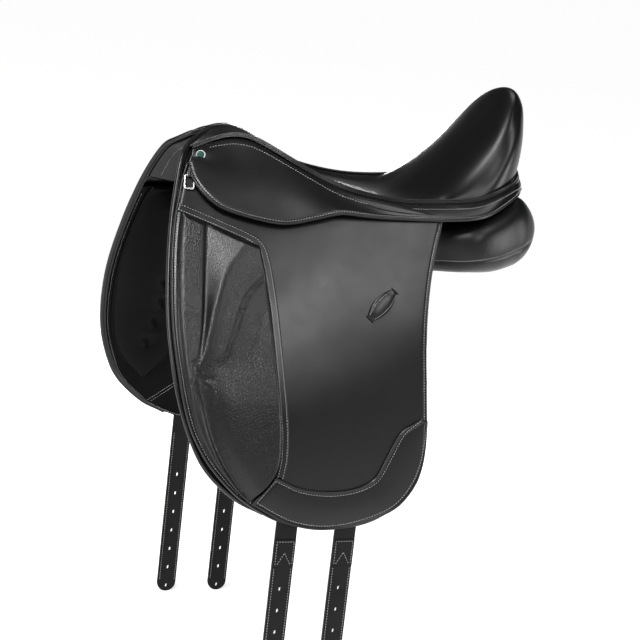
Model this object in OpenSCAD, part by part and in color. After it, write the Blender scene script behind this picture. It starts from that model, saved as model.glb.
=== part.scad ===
// Dressage saddle: sprung tree, deep seat, lifting skirts and flaps, and girth straps.
// Sizes are millimetres. Drawing coordinates start at the top of the pommel: X forward, Y left, Z up,
// and a drop is a depth below the pommel. The finished part is then set on the middle of its gullet.

/* [Flaps] */
// Thickness of the flap leather
flap_t = 4; // [3:0.5:5]
// Drop at which the flap bends when it is lifted
flap_fold = 78; // [72:1:82]
// Thickness of the sweat flap
sweat_flap_t = 3; // [2:0.5:4]
// Drop at the bottom of the sweat flap
sweat_flap_drop = 412; // [380:1:420]
// Thickness of the stitched patch along the bottom of the flap
patch_t = 2.5; // [1.5:0.5:4]
// Diameter of the rim piping along the front
rim_d = 6; // [4:0.5:8]

/* [Knee pads] */
// Thickness of the knee pad away from its block
pad_t = 5; // [3:0.5:8]
// Height of the knee block above the pad
block_h = 20; // [10:1:28]
// Width of the hollow behind the block, where the knee lies
hollow_w = 28; // [18:1:36]

/* [Skirts] */
// Thickness of the skirt leather
skirt_t = 4; // [3:0.5:5]
// Diameter of the head of the skirt stud
stud_d = 10; // [8:0.5:14]
// Diameter of the seat welt
welt_d = 5; // [4:0.5:6]

/* [Seat] */
// Thickness of the seat leather
cover_t = 2.2; // [1.5:0.1:3]
// Thickness of the seat foam
foam_t = 13; // [9:0.5:14]
// Thickness of the seat webbing
webbing_t = 2; // [1:0.5:3]

/* [Tree] */
// Thickness of the head of the tree along X
head_t = 24; // [18:1:30]
// Thickness of the arms of the head
arm_t = 12; // [8:0.5:14]
// Drop at which the points of the tree end
point_drop = 146; // [120:1:150]
// Thickness of the steel gullet plate
plate_t = 3; // [2:0.5:4]
// Diameter of the tree rivets
rivet_d = 5; // [4:0.5:6]
// Width of a side rail
rail_w = 26; // [20:1:30]
// Thickness of a side rail
rail_t = 10; // [8:0.5:12]
// Thickness of the cantle board
cantle_t = 9; // [6:0.5:12]

/* [Stirrup bars] */
// Diameter of the stirrup bar
bar_d = 8; // [6:0.5:10]
// Length of the stirrup bar
bar_l = 84; // [70:1:90]
// Clear gap behind the bar for the stirrup leather
bar_gap = 13; // [11:0.5:14]
// Thickness of the back plate of the bar
bar_plate_t = 3; // [2:0.5:3]
// Length of the safety catch
catch_l = 16; // [12:1:20]
// Diameter of the catch pin
catch_pin_d = 3; // [2:0.25:4]

/* [Girth straps] */
// Width of a girth strap
strap_w = 26; // [22:1:30]
// Thickness of a girth strap
strap_t = 4; // [3:0.5:4.5]
// Length of a girth strap below its web
strap_l = 232; // [200:1:250]
// Number of buckle holes
hole_count = 7; // [4:1:8]
// Distance between buckle holes
hole_pitch = 26.7; // [24:0.1:28]
// Width of a buckle hole
hole_w = 4; // [3:0.25:5]
// Length of a buckle hole
hole_l = 6.5; // [5.5:0.25:8]
// Thickness of the girth webs
web_t = 3; // [2:0.5:4]

/* [Small fittings] */
// Length of the girth keeper between its slits
keeper_l = 46; // [36:1:56]
// Width of the keeper at its middle
keeper_w = 20; // [14:1:26]
// Clear height under the keeper
keeper_gap = 3; // [2:0.5:5]
// Height of the dee
dee_h = 20; // [16:0.5:26]
// Width of the dee
dee_w = 14; // [12:0.5:18]
// Wire diameter of the dee
dee_wire = 3; // [2:0.25:3.5]

/* [Panels] */
// How far the panel tufts are drawn in
tuft_depth = 8; // [4:0.5:12]
// Thickness of the front pad at its crown
front_pad_t = 22; // [14:1:26]

/* [Hidden] */
$fn = 32;
// Gap between pieces that lie on each other
lay = 0.3;
// Length that a cut runs past the solid it cuts
past = 1;
// Clearance on each side of the girth webs
web_clear = 0.7;
// Middle of the gullet, from the top of the pommel: the origin of the part
gullet_mid = [-190, 0, -120];

// Half width of the outer face of the flaps, [drop, y], at the front and rear of the ruled face
front_x = 70;
rear_x = -240;
front_half = [[0, 6], [30, 36], [68, 68], [90, 85], [115, 101], [173, 135], [224, 162], [284, 190],
    [329, 204], [365, 212], [415, 219], [440, 221]];
rear_half = [[0, 120], [60, 138], [100, 150], [200, 184], [300, 207], [400, 219], [440, 221]];

// Edges of the flap, [drop, x]
flap_front = [[20, 28], [45, 40], [68, 46], [115, 54], [173, 59], [224, 59], [284, 51], [329, 37],
    [362, 18], [395, -15], [413, -45], [423, -70], [428, -95]];
flap_rear = [[20, -250], [75, -250], [93, -246], [139, -233], [208, -227], [277, -229], [334, -232],
    [360, -229], [380, -222], [400, -208], [416, -185], [426, -155], [428, -140]];
flap_end = 428;

// Rim piping from the top of the pommel down the front edge
rim = [[0, [4, 3.5, 0]], [1, [18, 12, -8]], [2, [34, 25, -20]], [3, [43, 40, -30]], [4, [55, 66, -68]],
    [5, [64, 92, -115]], [6, [70, 125, -173]], [7, [70, 152, -224]], [8, [62, 180, -284]],
    [9, [47, 194, -329]], [10, [27, 202, -365]], [11, [-11, 207, -397]]];

// Seat: welt on the left side and middle line, from pommel (0) to the back of the cantle (1)
welt_line = [[0, [31, 36, -17]], [0.05, [8, 37, -6]], [0.1, [-12, 40, 1]], [0.14, [-30, 46, 3]],
    [0.2, [-54, 60, -7]], [0.26, [-80, 79, -21]], [0.33, [-123, 103, -41]], [0.4, [-160, 117, -50]],
    [0.5, [-205, 131, -53]], [0.6, [-255, 142, -49]], [0.7, [-297, 139, -45]], [0.77, [-325, 122, -39]],
    [0.85, [-362, 92, -30]], [0.92, [-385, 55, -25]], [1, [-398, 16, -22]]];
middle_line = [[0, [-2, 0, 3]], [0.1, [-26, 0, 6]], [0.2, [-58, 0, -6]], [0.3, [-104, 0, -30]],
    [0.4, [-152, 0, -45]], [0.5, [-204, 0, -52]], [0.6, [-254, 0, -42]], [0.68, [-305, 0, 0]],
    [0.75, [-348, 0, 53]], [0.8, [-371, 0, 72]], [0.85, [-387, 0, 77]], [0.9, [-398, 0, 66]],
    [0.95, [-403, 0, 30]], [1, [-398, 0, -21]]];
// Height of the raised sides of the seat above a plain crown
side_rise = [[0, 0], [0.35, 4], [0.5, 10], [0.65, 16], [0.78, 12], [0.9, 0], [1, 0]];

// Skirt: fold line of the lifting lobe, edge of the lobe, and edge of the fixed strip behind it
fold_front = [38, 55, -28];
fold_rear = [-122, 134, -71];
fold_at = 0.33;
lobe_edge = [[0, [40, 60, -34]], [0.08, [41, 71, -44]], [0.17, [36, 83, -57]], [0.27, [19, 99, -74]],
    [0.4, [-2, 108, -82]], [0.55, [-34, 119, -88]], [0.7, [-64, 127, -90]], [0.85, [-93, 132, -82]],
    [1, [-119, 135, -75]]];
strip_edge = [[0.33, [-122, 134, -71]], [0.42, [-165, 138, -73]], [0.5, [-205, 144, -72]],
    [0.6, [-258, 152, -69]], [0.7, [-302, 148, -65]], [0.77, [-332, 131, -57]], [0.85, [-368, 102, -45]],
    [0.92, [-394, 62, -41]], [1, [-408, 18, -39]]];

// Panel sections along X: [-x, [inset from the arms of the head, drop, half length, half thickness, lean]]
panel_sections = [[-50, [16, 100, 30, 9, 58]], [-30, [17, 104, 38, 12, 58]], [10, [20, 106, 42, 13, 58]],
    [50, [24, 109, 43, 15, 52]], [100, [22, 111, 45, 20, 36]], [150, [22, 112.5, 46, 25, 24]],
    [200, [24, 113, 47, 29, 16]], [250, [22, 109, 52, 33, 8]], [300, [15, 104, 55, 36, 2]],
    [340, [19, 99, 49, 41, -2]], [370, [22, 91, 41, 41, -3]], [390, [24, 89, 31, 32, -2]],
    [400, [25, 88, 19, 18, 0]]];

// Crest of the knee block, [drop, x], and its share of the full height, [drop, share]
crest_x = [[84, -28], [116, -9], [170, 20], [203, 29], [236, 38], [262, 46], [400, 46]];
crest_share = [[84, 0.4], [100, 0.9], [150, 1], [200, 0.85], [240, 0.5], [270, 0.05], [300, 0], [400, 0]];
// Rear edge of the knee pad, [drop, x]
pad_rear = [[84, 10], [108, -28], [135, -33], [175, -37], [245, -44], [325, -52], [362, -48], [398, -22]];
pad_top = 88;
pad_end = 392;

// Places on the flap face, [x, drop]
keeper_at = [-178, 172];
dee_at = [38, 50];
bar_at = [-27, 62];
strap_x = [-72, -145];
patch_inner = [[0, [-52, 366]], [0.19, [-88, 380]], [0.39, [-134, 382]], [0.6, [-172, 369]],
    [0.74, [-188, 340]], [0.86, [-202, 314]], [1, [-226, 299]]];
patch_outer = [[0, [-24, 398]], [0.19, [-76, 423]], [0.39, [-132, 427.5]], [0.6, [-196, 408]],
    [0.74, [-221, 378]], [0.86, [-228, 345]], [1, [-229, 300]]];
tufts = [[18, 205], [16, 232], [14, 260], [4, 290]];

// Layers inside the outer face of the flap, measured along Y
strap_room = web_t + 2 * web_clear;
sweat_out = flap_t + strap_room;
sweat_in = sweat_out + sweat_flap_t;
strap_layer = flap_t + strap_room / 2;
// The stirrup bar is let in behind the flap face, and the arms of the head lie behind its plate
bar_sink = 1;
bar_plate_in = bar_sink + bar_d / 2 + bar_gap + bar_plate_t;
arm_out = 1.2 * bar_plate_in + 2;
web_end = flap_end + 8;
head_front = -15;
head_back = head_front - head_t;
cantle_x = -290;

function lerp(a, b, t) = a + (b - a) * t;
function unit(v) = v / norm(v);
function flip(p) = [p[0], -p[1], p[2]];
function steps(n) = [for (i = [0 : n]) i / n];

// Smooth curve through points [key, value] with rising keys
function slope(c, i) =
    let (a = max(i - 1, 0), b = min(i + 1, len(c) - 1))
    (c[b][1] - c[a][1]) / (c[b][0] - c[a][0]);
function along(c, key) =
    let (last = len(c) - 1,
        k = min(max(key, c[0][0]), c[last][0]),
        i = max([for (j = [0 : last - 1]) if (c[j][0] <= k) j]),
        h = c[i + 1][0] - c[i][0],
        t = (k - c[i][0]) / h)
    c[i][1] * (2 * t ^ 3 - 3 * t ^ 2 + 1) + slope(c, i) * h * (t ^ 3 - 2 * t ^ 2 + t)
    + c[i + 1][1] * (3 * t ^ 2 - 2 * t ^ 3) + slope(c, i + 1) * h * (t ^ 3 - t ^ 2);

// Ruled outer face of the flap: its points, lean from upright and turn in plan
function flap_y(x, drop) =
    lerp(along(front_half, drop), along(rear_half, drop), (front_x - x) / (front_x - rear_x));
function on_face(x, drop, in) = [x, flap_y(x, drop) - in, -drop];
function face_turn(x, drop) = atan((flap_y(x - 1, drop) - flap_y(x, drop)));
function face_lean(x, drop) =
    atan((flap_y(x, drop + 1) - flap_y(x, drop)) * cos(face_turn(x, drop)));

// Closed sheet between two grids of points; rows run down or back, columns to the viewer's right
module sheet(outer, inner) {
    rows = len(outer);
    cols = len(outer[0]);
    half = rows * cols;
    function o(r, c) = r * cols + c;
    function i(r, c) = half + r * cols + c;
    quads = concat(
        [for (r = [0 : rows - 2], c = [0 : cols - 2]) [o(r, c), o(r, c + 1), o(r + 1, c + 1), o(r + 1, c)]],
        [for (r = [0 : rows - 2], c = [0 : cols - 2]) [i(r, c), i(r + 1, c), i(r + 1, c + 1), i(r, c + 1)]],
        [for (c = [0 : cols - 2]) [o(0, c + 1), o(0, c), i(0, c), i(0, c + 1)]],
        [for (c = [0 : cols - 2])
            [o(rows - 1, c), o(rows - 1, c + 1), i(rows - 1, c + 1), i(rows - 1, c)]],
        [for (r = [0 : rows - 2]) [o(r, 0), o(r + 1, 0), i(r + 1, 0), i(r, 0)]],
        [for (r = [0 : rows - 2])
            [o(r + 1, cols - 1), o(r, cols - 1), i(r, cols - 1), i(r + 1, cols - 1)]]);
    polyhedron(points = concat([for (row = outer) each row], [for (row = inner) each row]),
        faces = [for (q = quads) each [[q[0], q[1], q[2]], [q[0], q[2], q[3]]]]);
}

// Closed body through rings of points, each running anticlockwise as seen from the first ring
module loft(rings) {
    n = len(rings);
    m = len(rings[0]);
    sides = [for (r = [0 : n - 2], j = [0 : m - 1])
        let (k = (j + 1) % m) [r * m + j, r * m + k, (r + 1) * m + k, (r + 1) * m + j]];
    polyhedron(points = [for (r = rings) each r],
        faces = concat([for (q = sides) each [[q[0], q[1], q[2]], [q[0], q[2], q[3]]]],
            [for (j = [1 : m - 2]) [0, j + 1, j]],
            [for (j = [1 : m - 2]) [(n - 1) * m, (n - 1) * m + j, (n - 1) * m + j + 1]]));
}

// Round tube along a path that never runs in the direction "over"
module tube(path, d, over) {
    sides = 8;
    last = len(path) - 1;
    loft([for (i = [0 : last])
        let (dir = unit(path[min(i + 1, last)] - path[max(i - 1, 0)]),
            up = unit(over - (over * dir) * dir),
            right = cross(dir, up))
        [for (j = [0 : sides - 1])
            let (a = j * 360 / sides)
            path[i] + d / 2 * (cos(a) * right + sin(a) * up)]]);
}

// Places its children on the flap face: X along the face, Y outward, Z up the face
module on_flap(place) {
    translate(on_face(place[0], place[1], 0))
    rotate([0, 0, -face_turn(place[0], place[1])])
    rotate([face_lean(place[0], place[1]), 0, 0])
    children();
}

module right_side() { mirror([0, 1, 0]) children(); }

module placed() { translate(-gullet_mid) children(); }

// Seat surface at u along and v across (-1 left welt, 1 right welt), sunk by depth towards a core line
core_back = -300;
core_share = 0.9;
function seat_skin(u, v) =
    let (w = along(welt_line, u), m = along(middle_line, u), a = abs(v), side = v > 0 ? -1 : 1)
    [lerp(m[0], w[0], a ^ 1.5), side * w[1] * sin(90 * a),
        w[2] + (m[2] - w[2]) * cos(90 * a) + along(side_rise, u) * 6.75 * a ^ 2 * (1 - a)];
function seat_core(u) =
    let (w = along(welt_line, u), m = along(middle_line, u))
    [max(m[0], core_back), 0, w[2] - core_share * w[1]];
function seat_point(u, v, depth) =
    let (p = seat_skin(u, v), sunk = min(depth, along(welt_line, u)[1] / 2))
    p - sunk * unit(p - seat_core(u));
function seat_grid(depth) = [for (u = steps(22)) [for (v = steps(14)) seat_point(u, 2 * v - 1, depth)]];

// Tree
function arm(drop, in) = [flap_y(head_front, drop) - arm_out - in, -drop];
arm_drops = [30, 40, 55, 75, 100, 125, point_drop];
head_top = -12;
head_left = concat([[20, head_top - 4]], [for (d = arm_drops) arm(d, 0)],
    [for (i = [len(arm_drops) - 1 : -1 : 2]) arm(arm_drops[i], arm_t)], [[14, -42]]);
head_outline = concat(head_left,
    [for (i = [len(head_left) - 1 : -1 : 0]) [-head_left[i][0], head_left[i][1]]]);
head_rivets = [[0, -26], [24, -36], [-24, -36]];
rivet_head_t = 1.5;
rail_y = [[0, 44], [0.13, 57], [0.3, 67], [0.5, 74], [0.7, 75], [1, 66]];
rail_z = [[0, -52], [0.2, -65], [0.37, -73.6], [0.7, -73], [1, -52]];
function rail_at(x) =
    let (t = (head_back - x) / (head_back - cantle_x))
    [x, along(rail_y, t), along(rail_z, t)];

module arch(t) { rotate([90, 0, 90]) linear_extrude(t) polygon(head_outline); }

module rivet_set(r, from, to) {
    for (p = head_rivets)
        translate([from, p[0], p[1]]) rotate([0, 90, 0]) cylinder(r = r, h = to - from);
}

module tree_head() {
    color("saddlebrown") difference() {
        translate([head_back, 0, 0]) arch(head_t);
        rivet_set(rivet_d / 2 + lay, head_front - head_t / 2, head_front + past);
    }
}

module gullet_plate() {
    color("dimgray") difference() {
        translate([head_front, 0, 0]) arch(plate_t);
        rivet_set(rivet_d / 2 + lay, head_front - past, head_front + plate_t + past);
    }
}

module tree_rivets() {
    color("silver") {
        rivet_set(rivet_d / 2, head_front - head_t / 2 + lay, head_front + plate_t + rivet_head_t / 2);
        rivet_set(rivet_d * 0.9, head_front + plate_t, head_front + plate_t + rivet_head_t);
    }
}

module tree_rail_left() {
    color("saddlebrown") loft([for (t = steps(10))
        let (c = rail_at(lerp(head_back - lay, cantle_x + lay, t)), w = rail_w / 2, h = rail_t / 2)
        [c + [0, w, -h], c + [0, w, h], c + [0, -w, h], c + [0, -w, -h]]]);
}

// Outer line of the cantle board, [radius, z], and the side view that it is trimmed to
cantle_line = [[65, -57], [82, -30], [91, 10], [92, 46]];
cantle_side = [[0, -60], [0, -35], [-100, 48], [-100, -60]];

module tree_cantle() {
    inner = [for (k = [len(cantle_line) - 1 : -1 : 0]) cantle_line[k] - [cantle_t, 0]];
    color("saddlebrown") translate([cantle_x, 0, 0]) intersection() {
        rotate([0, 0, 90]) rotate_extrude(angle = 180) polygon(concat(cantle_line, inner));
        rotate([90, 0, 0]) linear_extrude(4 * cantle_line[0][0], center = true) polygon(cantle_side);
    }
}

webbing_half = 0.27;
webbing_deep = cover_t + foam_t + 3 * lay;
function webbing_grid(depth) =
    [for (u = [0.24 : 0.04 : 0.56]) [for (v = steps(6)) seat_point(u, webbing_half * (2 * v - 1), depth)]];

module seat_webbing() {
    color("tan") sheet(webbing_grid(webbing_deep), webbing_grid(webbing_deep + webbing_t));
}

// Stirrup bar, open at the rear where the catch closes it
catch_x = bar_d / 2 - bar_l / 2;
catch_y = lay - bar_sink;
catch_t = bar_d / 2 - 1;
catch_bore = catch_pin_d + 0.2;
bar_plate_l = bar_l - 12;
bar_plate_h = 22;

module bar_pin(d, from, to) {
    translate([catch_x, from, 0]) rotate([-90, 0, 0]) cylinder(d = d, h = to - from);
}

module stirrup_bar_left() {
    color("silver") on_flap(bar_at) difference() {
        union() {
            translate([-bar_l / 2, -bar_sink, 0]) rotate([0, 90, 0]) cylinder(d = bar_d, h = bar_l);
            translate([bar_l / 2 - bar_d, bar_plate_t - bar_plate_in, -bar_d / 2])
                cube([bar_d, bar_plate_in - bar_plate_t - bar_sink, bar_d]);
            translate([bar_l / 2 - bar_plate_l, -bar_plate_in, -bar_plate_h / 2])
                cube([bar_plate_l, bar_plate_t, bar_plate_h]);
        }
        translate([-bar_l / 2 - past, -bar_sink, -bar_d]) cube([bar_d + 1 + past, bar_d, 2 * bar_d]);
        bar_pin(catch_bore, -bar_d, past);
    }
}

module bar_catch_left() {
    color("silver") on_flap(bar_at) difference() {
        union() {
            bar_pin(bar_d - 1, catch_y, catch_y + catch_t);
            translate([catch_x - catch_l, catch_y, 1 - bar_d / 2]) cube([catch_l, catch_t, bar_d - 2]);
        }
        bar_pin(catch_bore, catch_y - past, catch_y + catch_t + past);
    }
}

module catch_pin_left() {
    color("silver") on_flap(bar_at) bar_pin(catch_pin_d, -bar_sink - bar_d / 2 + 0.5, catch_y + catch_t);
}

// Girth webs: over the tree and down each side, between flap and sweat flap
function web_side(x, crown) = concat(
    [[x, rail_at(x)[1] + rail_w / 2, crown]],
    [for (d = concat([web_bend], sweat_rows(flap_end))) on_face(x, d, strap_layer)],
    [on_face(x, flap_end, strap_layer) - [0, 0, web_end - flap_end]]);
function web_normal(path, k) =
    let (t = unit(path[min(k + 1, len(path) - 1)] - path[max(k - 1, 0)])) [0, -t[2], t[1]];

module girth_web(x) {
    crown = rail_at(x + strap_w / 2)[2] + rail_t / 2 + web_t / 2 + lay;
    function path(edge_x) =
        let (left = web_side(edge_x, crown))
        concat([for (k = [len(left) - 1 : -1 : 0]) flip(left[k])], [[edge_x, 0, crown]], left);
    function layer(side) =
        let (front = path(x + strap_w / 2 - 1), back = path(x - strap_w / 2 + 1))
        [for (k = [0 : len(front) - 1]) [for (p = [front, back]) p[k] + side * web_t / 2 * web_normal(p, k)]];
    color("dimgray") sheet(layer(1), layer(-1));
}

module girth_web_front() { girth_web(strap_x[0]); }

module girth_web_rear() { girth_web(strap_x[1]); }

// Girth strap: turns about a round end under its web, with a stitched patch and buckle holes
strap_top = web_end + lay + strap_t / 2;
strap_patch_l = 32;
strap_patch_t = 1.5;
first_hole = 64;

module strap_outline() {
    difference() {
        union() {
            translate([-strap_w / 2, strap_w / 2 - strap_l]) square([strap_w, strap_l - strap_w / 2]);
            translate([0, strap_w / 2 - strap_l]) circle(d = strap_w);
        }
        for (k = [0 : hole_count - 1]) translate([0, -first_hole - k * hole_pitch]) {
            for (e = [-1, 1]) translate([0, e * (hole_l - hole_w) / 2]) circle(d = hole_w);
            square([hole_w, hole_l - hole_w], center = true);
        }
    }
}

module girth_strap(x) {
    y = flap_y(x, flap_end) - strap_layer;
    color("black") translate([x, y, -strap_top]) {
        translate([-strap_w / 2, 0, 0]) rotate([0, 90, 0]) cylinder(d = strap_t, h = strap_w);
        translate([0, strap_t / 2, 0]) rotate([90, 0, 0]) linear_extrude(strap_t) strap_outline();
        translate([1 - strap_w / 2, strap_t / 2, -strap_patch_l - strap_t / 2])
            cube([strap_w - 2, strap_patch_t, strap_patch_l]);
    }
}

module girth_strap_left_front() { girth_strap(strap_x[0]); }

module girth_strap_left_rear() { girth_strap(strap_x[1]); }

// Seat
module seat_foam() { color("khaki") sheet(seat_grid(cover_t + lay), seat_grid(cover_t + lay + foam_t)); }

module seat_cover() { color("black") sheet(seat_grid(0), seat_grid(cover_t)); }

function welt_out(u) =
    let (t = along(welt_line, min(u + 0.01, 1)) - along(welt_line, max(u - 0.01, 0)))
    unit([t[1], -t[0], 0]);
function welt_centre(u) = along(welt_line, u) + (welt_d / 2 + lay) * welt_out(u);

welt_left = [for (u = steps(36)) welt_centre(u)];

module seat_welt() {
    color("black") tube(concat(welt_left, [for (k = [36 : -1 : 0]) flip(welt_left[k])]), welt_d, [0, 0, 1]);
}

// Leather facing under the pommel, from the rim to the head of the tree
facing_t = 2;
facing_back = head_front + plate_t + rivet_head_t + lay;
facing_least_y = 12;
facing_least_drop = 44;
facing_steps = 10;
facing_end = 4.1;
function facing_back_y(p, d) = min(p[1], max(flap_y(head_front, d) - arm_out - arm_t, facing_least_y));
function facing_row(k) =
    let (p = along(rim, k), d = max(8 - p[2], facing_least_drop), q = [facing_back, facing_back_y(p, d), -d])
    [for (t = steps(3)) lerp(p + (rim_d / 2 + 2 * lay) * unit(q - p), q, t)];
facing_left = [for (k = [facing_steps : -1 : 0]) facing_row(facing_end * k / facing_steps)];
facing_all = concat(facing_left,
    [for (k = [facing_steps : -1 : 0]) [for (p = facing_left[k]) flip(p)]]);
function facing_in(p) = p + facing_t * unit([0, -p[1], gullet_mid[2] - p[2]]);

module pommel_facing() {
    upper = [for (r = [0 : 3]) [for (c = facing_all) c[r]]];
    color("black") sheet(upper, [for (row = upper) [for (p = row) facing_in(p)]]);
}

// Skirts: a fixed band under the welt, and a front lobe that lifts along a straight fold
skirt_out = unit([0.25, 1, 0.6]);
function band_top(u) = welt_centre(u) - [0, 0, welt_d / 2 + lay];
function band_low(u) = u < fold_at ? lerp(fold_front, fold_rear, u / fold_at) : along(strip_edge, u);
function band_out(u) = u < fold_at ? skirt_out : unit(welt_out(u) + [0, 0, 0.5]);
band_steps = 30;
function band_point(u, t, depth) = lerp(band_top(u), band_low(u), t) - depth * band_out(u);
function band_grid(depth) = [for (t = steps(3)) concat(
    [for (k = [0 : band_steps]) band_point(k / band_steps, t, depth)],
    [for (k = [band_steps : -1 : 0]) flip(band_point(k / band_steps, t, depth))])];
function lobe_grid(depth) = [for (t = steps(3)) [for (q = steps(20))
    lerp(lerp(fold_front, fold_rear, q), along(lobe_edge, q), t) - lay * [0, 0, 1] - depth * skirt_out]];

module skirt_band() { color("black") sheet(band_grid(0), band_grid(skirt_t)); }

module skirt_left() { color("black") sheet(lobe_grid(0), lobe_grid(skirt_t)); }

stud_u = 0.05;
stud_along = 0.5;

module skirt_stud_left() {
    e = 0.02;
    back = band_point(stud_u + e, stud_along, 0) - band_point(stud_u - e, stud_along, 0);
    down = band_point(stud_u, stud_along + e, 0) - band_point(stud_u, stud_along - e, 0);
    out = unit(cross(down, back));
    color("silver") translate(band_point(stud_u, stud_along, 0) + 2 * lay * out)
    rotate([0, acos(out[2]), atan2(out[1], out[0])]) {
        cylinder(d = stud_d, h = 1.2);
        translate([0, 0, 1.2]) cylinder(d1 = stud_d, d2 = stud_d * 0.6, h = 1.2);
    }
}

// Flaps: a fixed top nailed under the skirt, and a flap that lifts along the fold
flap_top_edge = [[0, 30], [0.2, 20], [0.4, 38], [0.6, 60], [0.8, 65], [1, 65]];
function flap_top_grid(in) = [for (r = steps(5)) [for (t = steps(12))
    let (d = lerp(along(flap_top_edge, t), flap_fold - lay, r), x = lerp(along(flap_front, d), -250, t))
    on_face(x, d, in)]];
flap_rows = concat([flap_fold], [for (d = [100 : 30 : 340]) d], [360, 380, 396, 410, 420, flap_end]);
function flap_grid(in) = [for (d = flap_rows) [for (t = steps(9))
    on_face(lerp(along(flap_front, d), along(flap_rear, d), t), d, in)]];

// The top is cut away round the stirrup bar and the swing of its catch
bar_window = 13;

module flap_top_left() {
    color("black") difference() {
        sheet(flap_top_grid(0), flap_top_grid(flap_t));
        on_flap(bar_at) translate([-bar_l / 2 - catch_l, -4 * flap_t, -bar_window])
            cube([bar_l + catch_l + 3, 8 * flap_t, bar_window + catch_l + 4]);
    }
}

module flap_left() { color("black") sheet(flap_grid(0), flap_grid(flap_t)); }

// Knee pad: a thin pad that swells to the block, then drops to the hollow behind it
function block_rise(x, d, front) =
    let (c = along(crest_x, d), h = block_h * along(crest_share, d))
    x >= c ? h * max(0, front - x) / max(front - c, 1) : h * max(0, 1 - (c - x) / hollow_w) ^ 2;
function pad_grid(bottom) = [for (r = steps(18)) [for (t = steps(14))
    let (d = lerp(pad_top, pad_end, r), front = along(flap_front, d) - 9,
        rear = along(pad_rear, d), c = max(rear + 8, min(front - 8, along(crest_x, d))),
        x = t < 0.5 ? lerp(front, c, 2 * t) : lerp(c, rear, 2 * t - 1),
        edge = max(0.3, (sin(180 * t) * sin(180 * r)) ^ 0.35))
    on_face(x, d, bottom ? -lay : -lay - pad_t * edge - block_rise(x, d, front))]];

module knee_pad_left() { color("black") sheet(pad_grid(false), pad_grid(true)); }

function patch_grid(in) = [for (t = steps(2)) [for (q = steps(18))
    let (p = lerp(along(patch_inner, q), along(patch_outer, q), t)) on_face(p[0], p[1], in)]];

module flap_patch_left() { color("black") sheet(patch_grid(-lay - patch_t), patch_grid(-lay)); }

// Keeper: a lens of leather that stands off the flap between two slits
keeper_t = 2;
keeper_lean = 40;
function keeper_grid(base) = [for (r = steps(8)) [for (t = steps(4))
    let (s = 2 * r - 1, w = keeper_w * (1 - 0.7 * s ^ 2))
    [w * (0.5 - t), base + keeper_gap * (1 - s ^ 4), -s * keeper_l / 2]]];

module keeper_left() {
    color("black") on_flap(keeper_at) rotate([0, -keeper_lean, 0])
        sheet(keeper_grid(lay + keeper_t), keeper_grid(lay));
}

// Rim piping along the front edge, with the sweat flap behind it
rim_end = 11;
rim_last = 397;
rim_x = [for (p = rim) if (p[0] > 3) [-p[1][2], p[1][0]]];

module rim_piping_left() {
    color("black") tube([for (t = steps(44)) along(rim, t * rim_end)], rim_d, [0, 1, 0.3]);
}

web_bend = flap_fold + 6;
sweat_top = flap_fold + 14;
function sweat_rows(end) =
    concat([sweat_top], [for (d = flap_rows) if (d > sweat_top + 3 && d < end - 3) d], [end]);
function sweat_grid(in) = [for (d = sweat_rows(sweat_flap_drop)) [for (t = steps(8))
    let (lean = (along(rim_x, d + 1) - along(rim_x, d - 1)) / 2,
        front = d < rim_last ? along(rim_x, d) - (rim_d / 2 + 2 * lay) * norm([1, lean])
            : along(flap_front, d) - 6,
        x = lerp(front, along(flap_rear, d + 12) + 12, t))
    on_face(x, d, in)]];

module sweat_flap_left() { color("black") sheet(sweat_grid(sweat_out), sweat_grid(sweat_in)); }

// Panels: stuffed cushions on each side of the gullet, and a tufted pad down the front
function panel_ring(x) =
    let (s = along(panel_sections, -x), c = on_face(max(x, rear_x), s[1], arm_out + arm_t + s[0]))
    [for (j = [0 : 13])
        let (a = j * 360 / 14, p = s[2] * sign(cos(a)) * abs(cos(a)) ^ 0.75,
            q = s[3] * sign(sin(a)) * abs(sin(a)) ^ 0.75)
        [x, c[1] + p * cos(s[4]) + q * sin(s[4]), c[2] - p * sin(s[4]) + q * cos(s[4])]];
panel_x = concat([50, 46, 38], [for (x = [20 : -25 : -355]) x], [-370, -380, -388, -394, -400]);

module panel_left() { color("black") loft([for (x = panel_x) panel_ring(x)]); }

front_pad_top = 158;
front_pad_end = 345;
front_pad_rear = -42;
tuft_r = 13;
function tuft_dip(x, d) =
    max([for (t = tufts) tuft_depth * exp(-((x - t[0]) ^ 2 + (d - t[1]) ^ 2) / tuft_r ^ 2)]);
function front_pad_grid(inner) = [for (r = steps(18)) [for (t = steps(10))
    let (d = lerp(front_pad_top, front_pad_end, r), x = lerp(along(rim_x, d) - 14, front_pad_rear, t),
        crown = max(0.2, (sin(180 * t) * sin(180 * r)) ^ 0.5))
    on_face(x, d, sweat_in + 3 * lay + (inner ? front_pad_t * crown - tuft_dip(x, d) * crown : 0))]];

module front_pad_left() { color("black") sheet(front_pad_grid(false), front_pad_grid(true)); }

// Dees: a wire loop in a folded leather tab in front of the skirt
dee_corner = 2.5;
dee_y = dee_wire / 2 + 1;
tab_w = dee_w - dee_wire - 2 * dee_corner - 2 * lay;
tab_l = 11;
tab_wall = 0.9;
tab_d = dee_wire + 2 * tab_wall;
dee_clear = 0.2;

module dee_side(l) { translate([0, 0, -l / 2]) cylinder(d = dee_wire, h = l); }

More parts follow.
